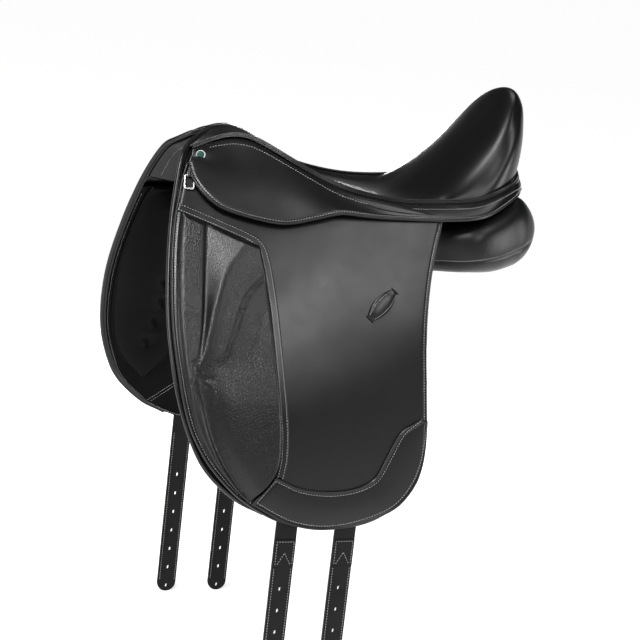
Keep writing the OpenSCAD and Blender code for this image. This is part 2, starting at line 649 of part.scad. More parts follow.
module dee_left() {
    w = (dee_w - dee_wire) / 2;
    h = dee_h - dee_wire;
    color("silver") on_flap(dee_at) translate([0, dee_y, 0]) {
        for (x = [-w, w]) translate([x, 0, -h / 2]) dee_side(h - 2 * dee_corner);
        for (z = [-h, 0]) translate([0, 0, z]) rotate([0, 90, 0]) dee_side(2 * w - 2 * dee_corner);
        for (x = [-1, 1], z = [-1, 1])
            translate([x * (w - dee_corner), 0, z * (h / 2 - dee_corner) - h / 2]) rotate([90, 0, 0])
            rotate([0, 0, x > 0 ? (z > 0 ? 0 : 270) : (z > 0 ? 90 : 180)])
            rotate_extrude(angle = 90) translate([dee_corner, 0]) circle(d = dee_wire);
    }
}

module dee_tab_left() {
    color("black") on_flap(dee_at) translate([0, dee_y, 0]) difference() {
        union() {
            rotate([0, 90, 0]) translate([0, 0, -tab_w / 2]) cylinder(d = tab_d, h = tab_w);
            translate([-tab_w / 2, -tab_d / 2, 0]) cube([tab_w, tab_d, tab_l]);
        }
        rotate([0, 90, 0]) translate([0, 0, -tab_w]) cylinder(d = dee_wire + dee_clear, h = 2 * tab_w);
    }
}

module tree_rail_right() { right_side() tree_rail_left(); }

module stirrup_bar_right() { right_side() stirrup_bar_left(); }

module bar_catch_right() { right_side() bar_catch_left(); }

module catch_pin_right() { right_side() catch_pin_left(); }

module skirt_right() { right_side() skirt_left(); }

module skirt_stud_right() { right_side() skirt_stud_left(); }

module flap_top_right() { right_side() flap_top_left(); }

module flap_right() { right_side() flap_left(); }

module knee_pad_right() { right_side() knee_pad_left(); }

module flap_patch_right() { right_side() flap_patch_left(); }

module keeper_right() { right_side() keeper_left(); }

module rim_piping_right() { right_side() rim_piping_left(); }

module sweat_flap_right() { right_side() sweat_flap_left(); }

module panel_right() { right_side() panel_left(); }

module front_pad_right() { right_side() front_pad_left(); }

module dee_right() { right_side() dee_left(); }

module dee_tab_right() { right_side() dee_tab_left(); }

module girth_strap_right_front() { right_side() girth_strap_left_front(); }

module girth_strap_right_rear() { right_side() girth_strap_left_rear(); }

placed() tree_head();
placed() tree_rail_left();
placed() tree_rail_right();
placed() tree_cantle();
placed() gullet_plate();
placed() tree_rivets();
placed() stirrup_bar_left();
placed() stirrup_bar_right();
placed() bar_catch_left();
placed() bar_catch_right();
placed() catch_pin_left();
placed() catch_pin_right();
placed() seat_webbing();
placed() girth_web_front();
placed() girth_web_rear();
placed() seat_foam();
placed() seat_cover();
placed() seat_welt();
placed() pommel_facing();
placed() skirt_left();
placed() skirt_right();
placed() skirt_band();
placed() skirt_stud_left();
placed() skirt_stud_right();
placed() flap_top_left();
placed() flap_top_right();
placed() flap_left();
placed() flap_right();
placed() knee_pad_left();
placed() knee_pad_right();
placed() flap_patch_left();
placed() flap_patch_right();
placed() keeper_left();
placed() keeper_right();
placed() rim_piping_left();
placed() rim_piping_right();
placed() sweat_flap_left();
placed() sweat_flap_right();
placed() panel_left();
placed() panel_right();
placed() front_pad_left();
placed() front_pad_right();
placed() girth_strap_left_front();
placed() girth_strap_left_rear();
placed() girth_strap_right_front();
placed() girth_strap_right_rear();
placed() dee_left();
placed() dee_right();
placed() dee_tab_left();
placed() dee_tab_right();
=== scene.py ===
import math

import bmesh
import bpy
import numpy as np
from mathutils import Matrix, Vector


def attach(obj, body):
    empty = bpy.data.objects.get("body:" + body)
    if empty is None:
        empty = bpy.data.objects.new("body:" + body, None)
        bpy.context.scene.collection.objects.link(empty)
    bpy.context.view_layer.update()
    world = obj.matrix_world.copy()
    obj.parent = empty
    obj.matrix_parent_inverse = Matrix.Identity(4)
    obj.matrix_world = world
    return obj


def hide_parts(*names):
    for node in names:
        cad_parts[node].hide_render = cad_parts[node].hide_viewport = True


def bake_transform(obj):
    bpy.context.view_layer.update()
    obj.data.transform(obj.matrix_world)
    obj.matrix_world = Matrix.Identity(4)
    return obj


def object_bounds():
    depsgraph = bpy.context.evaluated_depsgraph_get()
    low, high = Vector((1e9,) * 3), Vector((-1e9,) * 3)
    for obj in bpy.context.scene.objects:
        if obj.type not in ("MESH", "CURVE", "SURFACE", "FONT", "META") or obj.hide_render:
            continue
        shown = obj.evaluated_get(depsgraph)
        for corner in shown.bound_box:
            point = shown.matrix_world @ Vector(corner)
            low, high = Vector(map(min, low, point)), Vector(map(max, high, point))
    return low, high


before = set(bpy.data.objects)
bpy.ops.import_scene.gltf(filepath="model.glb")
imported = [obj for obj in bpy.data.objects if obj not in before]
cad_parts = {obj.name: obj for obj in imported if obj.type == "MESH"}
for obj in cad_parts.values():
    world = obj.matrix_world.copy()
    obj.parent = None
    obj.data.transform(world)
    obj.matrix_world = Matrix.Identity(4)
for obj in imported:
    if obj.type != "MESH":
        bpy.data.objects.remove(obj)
cad_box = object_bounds()
POMMEL = np.array([190.0, 0.0, 120.0])
MIRROR = np.array([1, -1, 1])


def model(points):
    return (np.asarray(points, float) + POMMEL) * 0.001


def unit(v):
    return v / (np.linalg.norm(v, axis=-1, keepdims=True) + 1e-12)


def lerp(a, b, t):
    return a + (b - a) * t


def smooth(a, b, x):
    t = np.clip((x - a) / (b - a), 0, 1)
    return t * t * (3 - 2 * t)


def bell(x, width):
    return np.exp(-((x / width) ** 2))


def rows_at(at, keys, values):
    """Columns of values, known at some keys, read at others."""
    return np.stack([np.interp(at, keys, column) for column in np.transpose(values)], -1)


def lengths(points, axis=0):
    """Distance along a row of points, or along one axis of a grid of them."""
    step = np.linalg.norm(np.diff(points, axis=axis), axis=-1)
    return np.concatenate([np.zeros_like(np.take(step, [0], axis)), np.cumsum(step, axis)], axis)


def soften(values, width):
    """Gaussian blur along the first axis; the ends stay where they are."""
    n = min(max(int(3 * width), 1), len(values) - 1)
    weight = bell(np.arange(-n, n + 1), 1.41 * width)
    weight /= weight.sum()
    before = 2 * values[0] - values[n:0:-1]
    after = 2 * values[-1] - values[-2 : -n - 2 : -1]
    stacked = np.concatenate([before, values, after])
    flat = stacked.reshape(len(stacked), -1)
    out = np.stack([np.convolve(column, weight, "valid") for column in flat.T], 1)
    return out.reshape(values.shape)


def resample(path, step):
    path = np.asarray(path, float)
    run = lengths(path)
    count = max(int(round(run[-1] / step)), 2)
    return rows_at(np.linspace(0, run[-1], count + 1), run, path)


class Curve:
    """Smooth curve through rows of a key and a number or point; soft is a share of its length."""

    def __init__(self, rows, soft=0.012):
        count = 1001
        table = np.array(rows, float)
        keys = table[:, 0]
        values = table[:, 1:]
        low = np.maximum(np.arange(len(keys)) - 1, 0)
        high = np.minimum(np.arange(len(keys)) + 1, len(keys) - 1)
        slope = (values[high] - values[low]) / (keys[high] - keys[low])[:, None]
        self.keys = np.linspace(keys[0], keys[-1], count)
        i = np.clip(np.searchsorted(keys, self.keys, side="right") - 1, 0, len(keys) - 2)
        h = (keys[i + 1] - keys[i])[:, None]
        t = (self.keys - keys[i])[:, None] / h
        dense = values[i] * (2 * t**3 - 3 * t**2 + 1) + slope[i] * h * (t**3 - 2 * t**2 + t)
        dense += values[i + 1] * (3 * t**2 - 2 * t**3) + slope[i + 1] * h * (t**3 - t**2)
        self.values = soften(dense, soft * count)

    def __call__(self, key):
        found = rows_at(key, self.keys, self.values)
        return found[..., 0] if self.values.shape[1] == 1 else found


# Driving sizes and outlines. Keys are drops unless a comment says otherwise.
FRONT_X = 70
REAR_X = -240
FLAP_T = 4
FLAP_END = 428
SWEAT_OUT = 8.4
SWEAT_IN = 11.4
STRAP_LAYER = 6.2
STRAP_X = (-72, -145)
PANEL_GAP = 39.2
TUFTS = ((-6, 222), (-9, 250), (-5, 279), (0, 309))
front_half = Curve([[0, 6], [30, 36], [68, 68], [90, 85], [115, 101], [173, 135], [224, 162], [284, 190],
                    [329, 204], [365, 212], [415, 219], [440, 221]])
rear_half = Curve([[0, 120], [60, 138], [100, 150], [200, 184], [300, 207], [400, 219], [440, 221]])
flap_front = Curve([[20, 32], [45, 45], [68, 53], [92, 60.5], [113, 64.5], [139, 67.5], [171, 69.5],
                    [196, 70], [221, 69], [255, 65], [280, 61], [306, 54.5], [323, 48], [341, 38],
                    [355, 28.5], [368, 17], [382, 3], [395, -13], [413, -44], [423, -70],
                    [428, -97]], 0.006)
flap_rear = Curve([[20, -252], [75, -252], [93, -248], [139, -238.5], [180, -233.5], [213, -232.5],
                   [247, -233.5], [281, -235], [316, -237], [334, -236], [352, -233.5], [369, -230],
                   [387, -220], [405, -201], [416, -184], [424, -164], [428, -142]], 0.006)
rim_front = Curve([[30, 43], [68, 55], [115, 64], [173, 70], [224, 70], [284, 62], [329, 47], [365, 27],
                   [397, -11]], 0.015)
# Piping of the rim, by a count of places from the pommel down
rim = Curve([[0, 4, 3.5, 0], [1, 18, 12, -8], [2, 34, 25, -20], [3, 43, 40, -30], [4, 55, 66, -68],
             [5, 64, 92, -115], [6, 70, 125, -173], [7, 70, 152, -224], [8, 62, 180, -284],
             [9, 47, 194, -329], [10, 27, 202, -365], [11, -11, 207, -397], [12, -42, 209, -413]], 0.026)
# Seat, by the share of its length from pommel to cantle
welt_line = Curve([[0, 27.5, 27, -19], [0.05, 4.5, 28, -8], [0.1, -15, 32, -1], [0.14, -32, 40, 1.5],
                   [0.2, -55, 57, -7.5], [0.26, -80, 78, -21], [0.33, -125, 97, -42],
                   [0.4, -168, 97, -53], [0.5, -221, 95, -59], [0.6, -277, 95, -56.5],
                   [0.7, -317, 98, -51.5], [0.77, -337, 99, -42.5], [0.85, -366, 85, -31],
                   [0.92, -385, 55, -25], [1, -398, 16, -22]], 0.028)
middle_line = Curve([[0, -2, 0, 3], [0.1, -26, 0, 6], [0.2, -58, 0, -5], [0.3, -104, 0, -37],
                     [0.4, -152, 0, -54], [0.5, -204, 0, -62], [0.6, -254, 0, -59], [0.68, -305, 0, -13],
                     [0.75, -348, 0, 37], [0.8, -371, 0, 70.5], [0.85, -387, 0, 78], [0.9, -398, 0, 66],
                     [0.95, -403, 0, 30], [1, -398, 0, -21]], 0.022)
side_rise = Curve([[0, 0], [0.3, -1.5], [0.45, -1], [0.6, 0], [0.67, 7], [0.73, 9], [0.85, 0],
                   [1, 0]], 0.03)
seat_peak = Curve([[0, 1], [0.1, 1.5], [0.2, 1.25], [0.3, 1.25], [0.4, 1], [0.6, 1], [0.7, 1.6], [0.8, 1],
                   [1, 1]], 0.03)
fold_share = Curve([[0, 0.98], [0.69, 0.95], [0.708, 0.83], [0.756, 0.7], [0.805, 0.63], [0.83, 0.5],
                    [0.87, 0.36], [1, 0.3]], 0.02)
FOLD_SPAN = 115
# Fold and edge of the skirt's lifting lobe, by the share of its own length, and the strip behind it
FOLD_FRONT = np.array([38.0, 55.0, -28.0])
FOLD_REAR = np.array([-122.0, 134.0, -71.0])
FOLD_AT = 0.33
lobe_edge = Curve([[0, 40, 60, -34], [0.08, 41, 71, -44], [0.17, 36, 83, -57], [0.27, 19, 99, -74],
                   [0.4, -2, 108, -82], [0.55, -34, 119, -88], [0.7, -64, 127, -90],
                   [0.85, -93, 132, -82], [1, -119, 135, -75]], 0.02)
strip_edge = Curve([[0.33, -122, 134, -71], [0.42, -165, 138, -73], [0.5, -205, 144, -72],
                    [0.6, -258, 152, -69], [0.7, -302, 148, -65], [0.77, -332, 131, -57],
                    [0.85, -367, 102, -45], [0.92, -388, 62, -42], [1, -398.5, 18, -40]], 0.015)
# Panel, by the distance behind the pommel: inset, drop, half length, half thickness and lean
panel_sections = Curve([[-50, 16, 100, 30, 9, 58], [-30, 17, 104, 38, 12, 58], [10, 20, 106, 42, 13, 58],
                        [50, 24, 109, 43, 15, 52], [100, 22, 111, 45, 20, 36],
                        [150, 22, 112.5, 46, 25, 24], [200, 24, 113, 47, 29, 16],
                        [250, 30, 109, 40, 33, 8], [300, 17, 104, 52, 36, 2], [340, 19, 98, 49, 42, -2],
                        [370, 22, 89, 42, 44, -3], [400, 24, 82, 38, 42, -2]])
# Lines of the knee pad and of the binding round it
crest_x = Curve([[84, -26], [100, -18], [113, -10], [143, 9], [176, 20.5], [220, 33], [261, 45],
                 [400, 46]], 0.01)
crest_share = Curve([[84, 0.55], [100, 0.9], [150, 1], [200, 0.9], [235, 0.6], [258, 0.12], [275, 0],
                     [400, 0]], 0.01)
ridge_x = Curve([[84, -62], [120, -46], [139, -30.5], [160, -13], [188, -1.5], [219, 9], [239, 18],
                 [253, 33], [261, 43], [400, 44]], 0.01)
crease_x = Curve([[84, 23.5], [96, 24.5], [159, 29.7], [210, 33.5], [240, 39], [261, 46],
                  [400, 47]], 0.01)
roll_x = Curve([[84, 47], [250, 47], [263, 44], [288, 37], [319, 28.3], [348, 15.6], [375, -3],
                [396, -18]], 0.01)
pad_rear = Curve([[84, -31], [108, -33.5], [135, -38.5], [175, -43.5], [245, -51], [325, -57],
                  [362, -52], [398, -22]], 0.01)
BAND_LINE = ((55.5, 83), (20, 94), (-20, 107.5), (-33, 113), (-39.5, 121), (-44, 143), (-48.5, 180),
             (-55, 255), (-61, 325), (-60.5, 350), (-57, 368))
# Tufted pad inside the sweat flap
lining_front = Curve([[84, 38], [100, 46], [140, 53], [173, 56.5], [224, 56.5], [284, 48.5], [318, 37],
                      [340, 22], [355, 6], [365, -5]], 0.01)
lining_rear = Curve([[84, -42], [310, -42], [325, -39], [340, -30], [355, -16], [365, -8]], 0.01)
# Patch of the flap, by the share of its length: x and drop
patch_inner = Curve([[0, -52, 366], [0.19, -88, 380], [0.39, -134, 382], [0.6, -172, 369],
                     [0.74, -188, 340], [0.86, -202, 314], [1, -226, 299]], 0.02)
patch_outer = Curve([[0, -24, 398], [0.19, -76, 423], [0.39, -132, 427.5], [0.6, -198, 407],
                     [0.74, -225, 378], [0.86, -234.5, 345], [1, -236, 300]], 0.02)


def flap_y(x, drop):
    front = front_half(drop)
    return front + (rear_half(drop) - front) * (FRONT_X - x) / (FRONT_X - REAR_X)


def on_face(x, drop, out=0.0):
    x, drop, out = np.broadcast_arrays(np.asarray(x, float), np.asarray(drop, float), out)
    return np.stack([x, flap_y(x, drop) + out, -drop], -1)


def face_normal(x, drop):
    across = (flap_y(x + 1, drop) - flap_y(x - 1, drop)) / 2
    down = (flap_y(x, drop + 1) - flap_y(x, drop - 1)) / 2
    return unit(np.stack([-across, np.ones_like(across), down], -1))


def raised(xd, height):
    """Point at a height along the normal of the flap face; xd holds x and drop."""
    x, drop = xd[..., 0], xd[..., 1]
    return on_face(x, drop) + face_normal(x, drop) * np.asarray(height)[..., None]


def face_axes(x, drop):
    """Axes on the flap face: along it, outward, and up it."""
    turn = math.atan(flap_y(x - 1, drop) - flap_y(x, drop))
    lean = math.atan((flap_y(x, drop + 1) - flap_y(x, drop)) * math.cos(turn))
    along = np.array([math.cos(turn), -math.sin(turn), 0])
    level = np.array([math.sin(turn), math.cos(turn), 0])
    up = np.array([0, 0, 1.0])
    return along, level * math.cos(lean) + up * math.sin(lean), up * math.cos(lean) - level * math.sin(lean)


# Mesh making
def grid_faces(index, wrap=False):
    """Quads over a grid of vertex numbers, wrapped round its second axis if asked."""
    across = np.roll(index, -1, 1) if wrap else index[:, 1:]
    left = index if wrap else index[:, :-1]
    return np.stack([left[:-1], across[:-1], across[1:], left[1:]], -1).reshape(-1, 4).tolist()


def capped(rings):
    """Points and faces of a tube over a grid of rings, closed at both ends."""
    rings = np.asarray(rings)
    index = np.arange(rings.shape[0] * rings.shape[1]).reshape(rings.shape[:2])
    faces = grid_faces(index, wrap=True) + [index[0].tolist(), index[-1][::-1].tolist()]
    return rings.reshape(-1, 3), faces


def weld(points, faces):
    """Merges points at one place and drops faces that collapse."""
    keys = np.round(np.asarray(points, float), 2) + 0.0
    _, first, index = np.unique(keys, axis=0, return_index=True, return_inverse=True)
    index = index.ravel().tolist()
    rings = [list(dict.fromkeys(index[k] for k in face)) for face in faces]
    return np.asarray(points)[first], [ring for ring in rings if len(ring) > 2]


def shell(outer, inner, rim_mask=None):
    """Closed sheet between two grids; they share their points where the mask is true."""
    rows, cols = outer.shape[:2]
    if rim_mask is None:
        rim_mask = np.zeros((rows, cols), bool)
        rim_mask[[0, -1], :] = True
        rim_mask[:, [0, -1]] = True
    index = np.arange(rows * cols).reshape(rows, cols)
    under = np.where(rim_mask, index, index + rows * cols)
    outer = np.where(rim_mask[..., None], (outer + inner) / 2, outer)
    points = np.concatenate([outer.reshape(-1, 3), inner.reshape(-1, 3)])
    faces = grid_faces(index) + [face[::-1] for face in grid_faces(under)]
    used = np.unique(np.concatenate([index.ravel(), under.ravel()]))
    place = np.zeros(len(points), int)
    place[used] = np.arange(len(used))
    return weld(points[used], [[int(place[k]) for k in face] for face in faces])


def join(parts):
    points = []
    faces = []
    start = 0
    for some, more in parts:
        points.append(np.asarray(some, float))
        faces.extend([[k + start for k in face] for face in more])
        start += len(some)
    return np.concatenate(points), faces


def edge_run(mid):
    """Distance of each grid point from the nearest edge of its grid."""
    runs = []
    for axis in (0, 1):
        run = lengths(mid, axis)
        runs.append(np.minimum(run, np.take(run, [-1], axis) - run))
    return np.minimum(*runs)


def half_round(run, thick):
    t = np.clip(run / (thick / 2), 0, 1)
    return thick / 2 * np.sqrt(1 - (1 - t) ** 2)


# Distances from an edge at which a sheet has points; its stitches lie at the channel
CHANNEL = 4.2
NEAR = (0, 0.15, 0.5, 1.0, 1.6, 2.3, 3.0, 3.6, CHANNEL, 4.8, 5.6, 7.0)
SEW = NEAR.index(CHANNEL)


def lip(run):
    """Rolled edge and the channel that its stitches lie in."""
    return 0.7 * bell(run - 1.7, 1.3) - 0.55 * bell(run - CHANNEL, 0.9)


def spread(count, length, near=NEAR):
    """Shares of a length, closer together at both ends."""
    close = np.array(near) / length
    middle = np.linspace(close[-1], 1 - close[-1], count)
    return np.concatenate([close[:-1], middle, 1 - close[-2::-1]])


def spread_grid(rows, cols):
    """Grids of row and column shares, each from a count, a length and the points near an edge."""
    return np.meshgrid(spread(*rows), spread(*cols), indexing="ij")


def grid_normal(mid, towards):
    n = unit(np.cross(np.gradient(mid, axis=0), np.gradient(mid, axis=1)))
    flip = np.sign((n * np.asarray(towards, float)).sum(-1).mean())
    return n * (flip if flip else 1)


def leather_sheet(mid, thick, towards, rise=0.0, edge_lip=True):
    """Sheet of leather with round edges about a middle surface; also gives its outer face and normals."""
    n = grid_normal(mid, towards)
    run = edge_run(mid)
    half = half_round(run, thick)
    out = half + rise + (lip(run) if edge_lip else 0) * (half > 0)
    outer = mid + n * out[..., None]
    return shell(outer, mid - n * half[..., None]), outer, n


def frames(path):
    tangent = unit(np.gradient(path, axis=0))
    normal = np.zeros_like(path)
    normal[0] = unit(np.cross(tangent[0], [0.31, 0.22, 0.93]))
    for i in range(1, len(path)):
        normal[i] = unit(normal[i - 1] - tangent[i] * (normal[i - 1] @ tangent[i]))
    return tangent, normal, np.cross(tangent, normal)


def circle(sides):
    angle = np.linspace(0, 2 * np.pi, sides, endpoint=False)
    return np.cos(angle), np.sin(angle)


def tube(path, radius, sides=12):
    """Round tube with domed ends; the radius is a number or one for each point."""
    path = np.asarray(path, float)
    radius = np.broadcast_to(np.asarray(radius, float), len(path))
    tangent, normal, side = frames(path)
    ends = ((0.0, 1.0), (0.5, 0.87), (0.87, 0.5), (1.0, 0.05))
    first = [(path[0] - tangent[0] * radius[0] * a, radius[0] * b) for a, b in ends[::-1]]
    last = [(path[-1] + tangent[-1] * radius[-1] * a, radius[-1] * b) for a, b in ends]
    path = np.array([p for p, _ in first] + list(path[1:-1]) + [p for p, _ in last])
    radius = np.array([r for _, r in first] + list(radius[1:-1]) + [r for _, r in last])
    pick = np.concatenate([[0] * 4, np.arange(1, len(normal) - 1), [len(normal) - 1] * 4])
    c, s = circle(sides)
    ring = c[:, None] * normal[pick][:, None] + s[:, None] * side[pick][:, None]
    return capped(path[:, None] + radius[:, None, None] * ring)


def lathe(centre, axis, profile, sides):
    """Turned form about an axis; the profile holds radius and height."""
    axis = unit(np.asarray(axis, float))
    one = unit(np.cross(axis, [0.3, 0.1, 0.95]))
    c, s = circle(sides)
    ring = c[:, None] * one + s[:, None] * np.cross(axis, one)
    return capped([centre + axis * h + ring * r for r, h in profile])


def ribbon(path, normal, width, thick):
    """Flat strip with round edges along a path; the normal points away from what it lies on."""
    across = unit(np.cross(normal, unit(np.gradient(path, axis=0))))
    share = spread(7, width, (0, 0.12, 0.4, 0.9, 1.5)) - 0.5
    mid = path[:, None] + across[:, None] * (share * width)[None, :, None]
    return leather_sheet(mid, thick, normal.mean(0), edge_lip=False)[0]


# Rings of one stitch: place along it and size
STITCH = ((-0.5, 0.35), (-0.28, 0.9), (0.28, 0.9), (0.5, 0.35))
STITCH_SINK = 0.12
STITCH_TILT = math.radians(8)


def stitches(path, normal, pitch=3.3, long=2.0, wide=0.8):
    """Row of thread along a path on a surface with the given normals."""
    both = resample(np.concatenate([path, normal], 1), pitch / 4)
    spots = both[2::4, :3]
    up = unit(both[2::4, 3:])
    ahead = unit(np.gradient(both[:, :3], axis=0)[2::4])
    ahead = unit(ahead - up * (ahead * up).sum(-1, keepdims=True))
    across = np.cross(up, ahead)
    turned = ahead * math.cos(STITCH_TILT) + across * math.sin(STITCH_TILT)
    side = across * math.cos(STITCH_TILT) - ahead * math.sin(STITCH_TILT)
    c, s = circle(6)
    ring = c[None, :, None] * side[:, None] + s[None, :, None] * up[:, None]
    rings = []
    for where, size in STITCH:
        lift = wide / 2 * (size - STITCH_SINK) * 0.8
        centre = spots + turned * long * where + up * lift
        rings.append(centre[:, None] + ring * wide / 2 * size)
    return join([capped(one) for one in np.stack(rings, 1)])


def flat_stitches(points, base, out):
    """Row of thread on a flat face, through points measured from a base."""
    line = resample(points, 0.8) + base
    return stitches(line, np.tile([0, out, 0], (len(line), 1)))


def face_stitches(xd, height):
    """Row of thread along x and drop points on the flap face."""
    line = resample(xd, 1.0)
    return stitches(raised(line, height), face_normal(line[:, 0], line[:, 1]))


def add_object(name, data):
    obj = bpy.data.objects.new(name, data)
    bpy.context.scene.collection.objects.link(obj)
    return obj


def make(name, part, material):
    points, faces = part
    mesh = bpy.data.meshes.new(name)
    mesh.from_pydata(model(points).tolist(), [], faces)
    work = bmesh.new()
    work.from_mesh(mesh)
    bmesh.ops.recalc_face_normals(work, faces=work.faces)
    work.to_mesh(mesh)
    work.free()
    mesh.shade_smooth()
    mesh.materials.append(material)
    return add_object(name, mesh)


def take(obj):
    """Points and faces of a work object after its modifiers or its curve; removes the object."""
    view = bpy.context.evaluated_depsgraph_get()
    done = obj.evaluated_get(view).to_mesh()
    points = np.zeros(len(done.vertices) * 3)
    done.vertices.foreach_get("co", points)
    faces = [list(face.vertices) for face in done.polygons]
    bpy.data.objects.remove(obj)
    return points.reshape(-1, 3), faces


def settle(obj, body, nodes=(), slot=None, fill=None, bend=None):
    if bend:
        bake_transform(obj)
    else:
        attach(obj, body)
    if nodes:
        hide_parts(*nodes)


def single(name, part, material, body="saddle", **more):
    settle(make(name, part, material), body, **more)


def sided(name, part, material, body="saddle", nodes=(), bend=None, **more):
    """Makes a left piece and its mirror image; names hold the word left."""
    points, faces = part
    settle(make(name, part, material), body, nodes, bend=bend, **more)
    other = (points * MIRROR, [face[::-1] for face in faces])
    if bend:
        bend = (bend[0].replace("left", "right"), bend[1] * MIRROR, bend[2] * MIRROR)
    settle(make(name.replace("left", "right"), other, material), body.replace("left", "right"),
           [n.replace("left", "right") for n in nodes], bend=bend, **more)


# Materials
def plug(tree, node, key, value):
    """Links an input to a socket or sets it to a value."""
    if isinstance(value, bpy.types.NodeSocket):
        tree.links.new(value, node.inputs[key])
    else:
        node.inputs[key].default_value = value


def add_node(tree, kind, inputs=None, **settings):
    node = tree.nodes.new("ShaderNode" + kind)
    for key, value in settings.items():
        setattr(node, key, value)
    for key, value in (inputs or {}).items():
        plug(tree, node, key, value)
    return node


def paint(tree, **values):
    for key, value in values.items():
        plug(tree, tree.nodes["Principled BSDF"], key.replace("_", " "), value)


def shader(name, **values):
    """New material with its node tree and object coordinates."""
    mat = bpy.data.materials.new(name)
    mat.use_nodes = True
    paint(mat.node_tree, **values)
    return mat, mat.node_tree, add_node(mat.node_tree, "TexCoord").outputs["Object"]


def ramp(tree, source, low, high, first, last):
    node = add_node(tree, "ValToRGB", {"Fac": source})
    for element, place, colour in zip(node.color_ramp.elements, (low, high), (first, last)):
        element.position = place
        element.color = (*colour, 1)
    return node.outputs["Color"]


def span(tree, source, low, high, first, last):
    ends = {"Value": source, "From Min": low, "From Max": high, "To Min": first, "To Max": last}
    return add_node(tree, "MapRange", ends).outputs["Result"]


def noise(tree, place, scale, detail=3.0, rough=0.55):
    inputs = {"Vector": place, "Scale": scale, "Detail": detail, "Roughness": rough}
    return add_node(tree, "TexNoise", inputs)


def bump(tree, height, distance, strength, **below):
    inputs = {"Height": height, "Distance": distance, "Strength": strength, **below}
    return add_node(tree, "Bump", inputs).outputs["Normal"]


def stretched(tree, place, scale):
    return add_node(tree, "Mapping", {"Vector": place, "Scale": scale}).outputs["Vector"]


def leather(name, dark, light, rough, cell, depth, crease=0.0, specular=0.32):
    """Leather or enamel: pores or pebbles of a cell size in metres, soft mottling and rubbed edges."""
    mat, tree, place = shader(name, Specular_IOR_Level=specular)
    cloud = noise(tree, place, 14).outputs["Fac"]
    fine = noise(tree, place, 260, 4).outputs["Color"]
    shift = {0: fine, 1: (cell, cell, cell), 2: place}
    warp = add_node(tree, "VectorMath", shift, operation="MULTIPLY_ADD").outputs["Vector"]
    cells = {"Vector": warp, "Scale": 1 / cell}
    grain = add_node(tree, "TexVoronoi", cells, feature="DISTANCE_TO_EDGE").outputs["Distance"]
    edge = add_node(tree, "NewGeometry").outputs["Pointiness"]
    rubbed = (*[min(3 * c, 1) for c in light], 1)
    tones = {"Factor": span(tree, edge, 0.52, 0.62, 0, 0.35),
             "A": ramp(tree, cloud, 0.3, 0.72, dark, light), "B": rubbed}
    worn = add_node(tree, "Mix", tones, data_type="RGBA").outputs["Result"]
    normal = bump(tree, span(tree, grain, 0.0, 0.22, 0, 1), depth, 0.55)
    if crease:
        lines = noise(tree, stretched(tree, place, (1, 0.5, 0.35)), 190, 5, 0.6)
        normal = bump(tree, lines.outputs["Fac"], crease, 0.5, Normal=normal)
    sheen = span(tree, cloud, 0.3, 0.7, rough + 0.05, rough - 0.05)
    paint(tree, Base_Color=worn, Roughness=sheen, Normal=normal)
    return mat


def metal(name, colour, rough, scratch):
    mat, tree, place = shader(name, Metallic=1.0)
    lines = noise(tree, stretched(tree, place, (1, 8, 8)), scratch, 5).outputs["Fac"]
    paint(tree, Base_Color=ramp(tree, lines, 0.3, 0.7, [c * 0.8 for c in colour], colour),
          Roughness=span(tree, lines, 0.3, 0.7, rough * 0.7, rough * 1.5),
          Normal=bump(tree, lines, 0.00003, 0.3))
    return mat


def woven(name, dark, light, pitch):
    """Webbing: warp and weft threads with a pitch in metres."""
    mat, tree, place = shader(name, Roughness=0.85, Sheen_Weight=0.05)
    threads = {"Vector": place, "Scale": 0.314 / pitch, "Distortion": 0.4}
    waves = [add_node(tree, "TexWave", threads, bands_direction=axis).outputs["Fac"] for axis in ("X", "Z")]
    both = add_node(tree, "Math", dict(enumerate(waves)), operation="MAXIMUM").outputs["Value"]
    fuzz = noise(tree, place, 900).outputs["Fac"]
    mixed = add_node(tree, "Math", {0: both, 1: fuzz}, operation="MULTIPLY").outputs["Value"]
    paint(tree, Base_Color=ramp(tree, mixed, 0.15, 0.6, dark, light), Normal=bump(tree, both, 0.0005, 0.7))
    return mat


def wood(name, dark, light):
    mat, tree, place = shader(name, Roughness=0.6)
    rings = {"Vector": place, "Scale": 45, "Distortion": 5, "Detail": 3}
    wave = add_node(tree, "TexWave", rings, bands_direction="Y").outputs["Fac"]
    paint(tree, Base_Color=ramp(tree, wave, 0.1, 0.9, dark, light), Normal=bump(tree, wave, 0.0003, 0.4))
    return mat


def thread(name, colour):
    mat, tree, place = shader(name, Roughness=0.6, Sheen_Weight=0.2)
    fibre = noise(tree, place, 2200).outputs["Fac"]
    paint(tree, Base_Color=ramp(tree, fibre, 0.3, 0.7, [c * 0.6 for c in colour], colour),
          Normal=bump(tree, fibre, 0.0002, 0.6))
    return mat


BLACK = (0.0016, 0.0016, 0.0017)
SOOT = (0.004, 0.004, 0.0042)
INK = (0.0012, 0.0012, 0.0013)
COAL = (0.003, 0.003, 0.0032)
DARK_GREEN = (0.004, 0.03, 0.022)
GREEN = (0.006, 0.04, 0.03)
smooth_leather = leather("smooth_leather", BLACK, SOOT, 0.31, 0.0007, 0.000012)
seat_leather = leather("seat_leather", INK, COAL, 0.33, 0.0007, 0.000009)
grained_leather = leather("grained_leather", BLACK, SOOT, 0.3, 0.0026, 0.0002, crease=0.00025)
panel_leather = leather("panel_leather", INK, COAL, 0.35, 0.0012, 0.00003, crease=0.0003, specular=0.24)
strap_leather = leather("strap_leather", BLACK, SOOT, 0.5, 0.0008, 0.00003, specular=0.15)
piping_leather = leather("piping_leather", BLACK, SOOT, 0.32, 0.0006, 0.00001)
lining_leather = leather("lining_leather", INK, COAL, 0.45, 0.0012, 0.00003, specular=0.05)
enamel = leather("green_enamel", DARK_GREEN, GREEN, 0.5, 0.0009, 0.00001, specular=0.15)
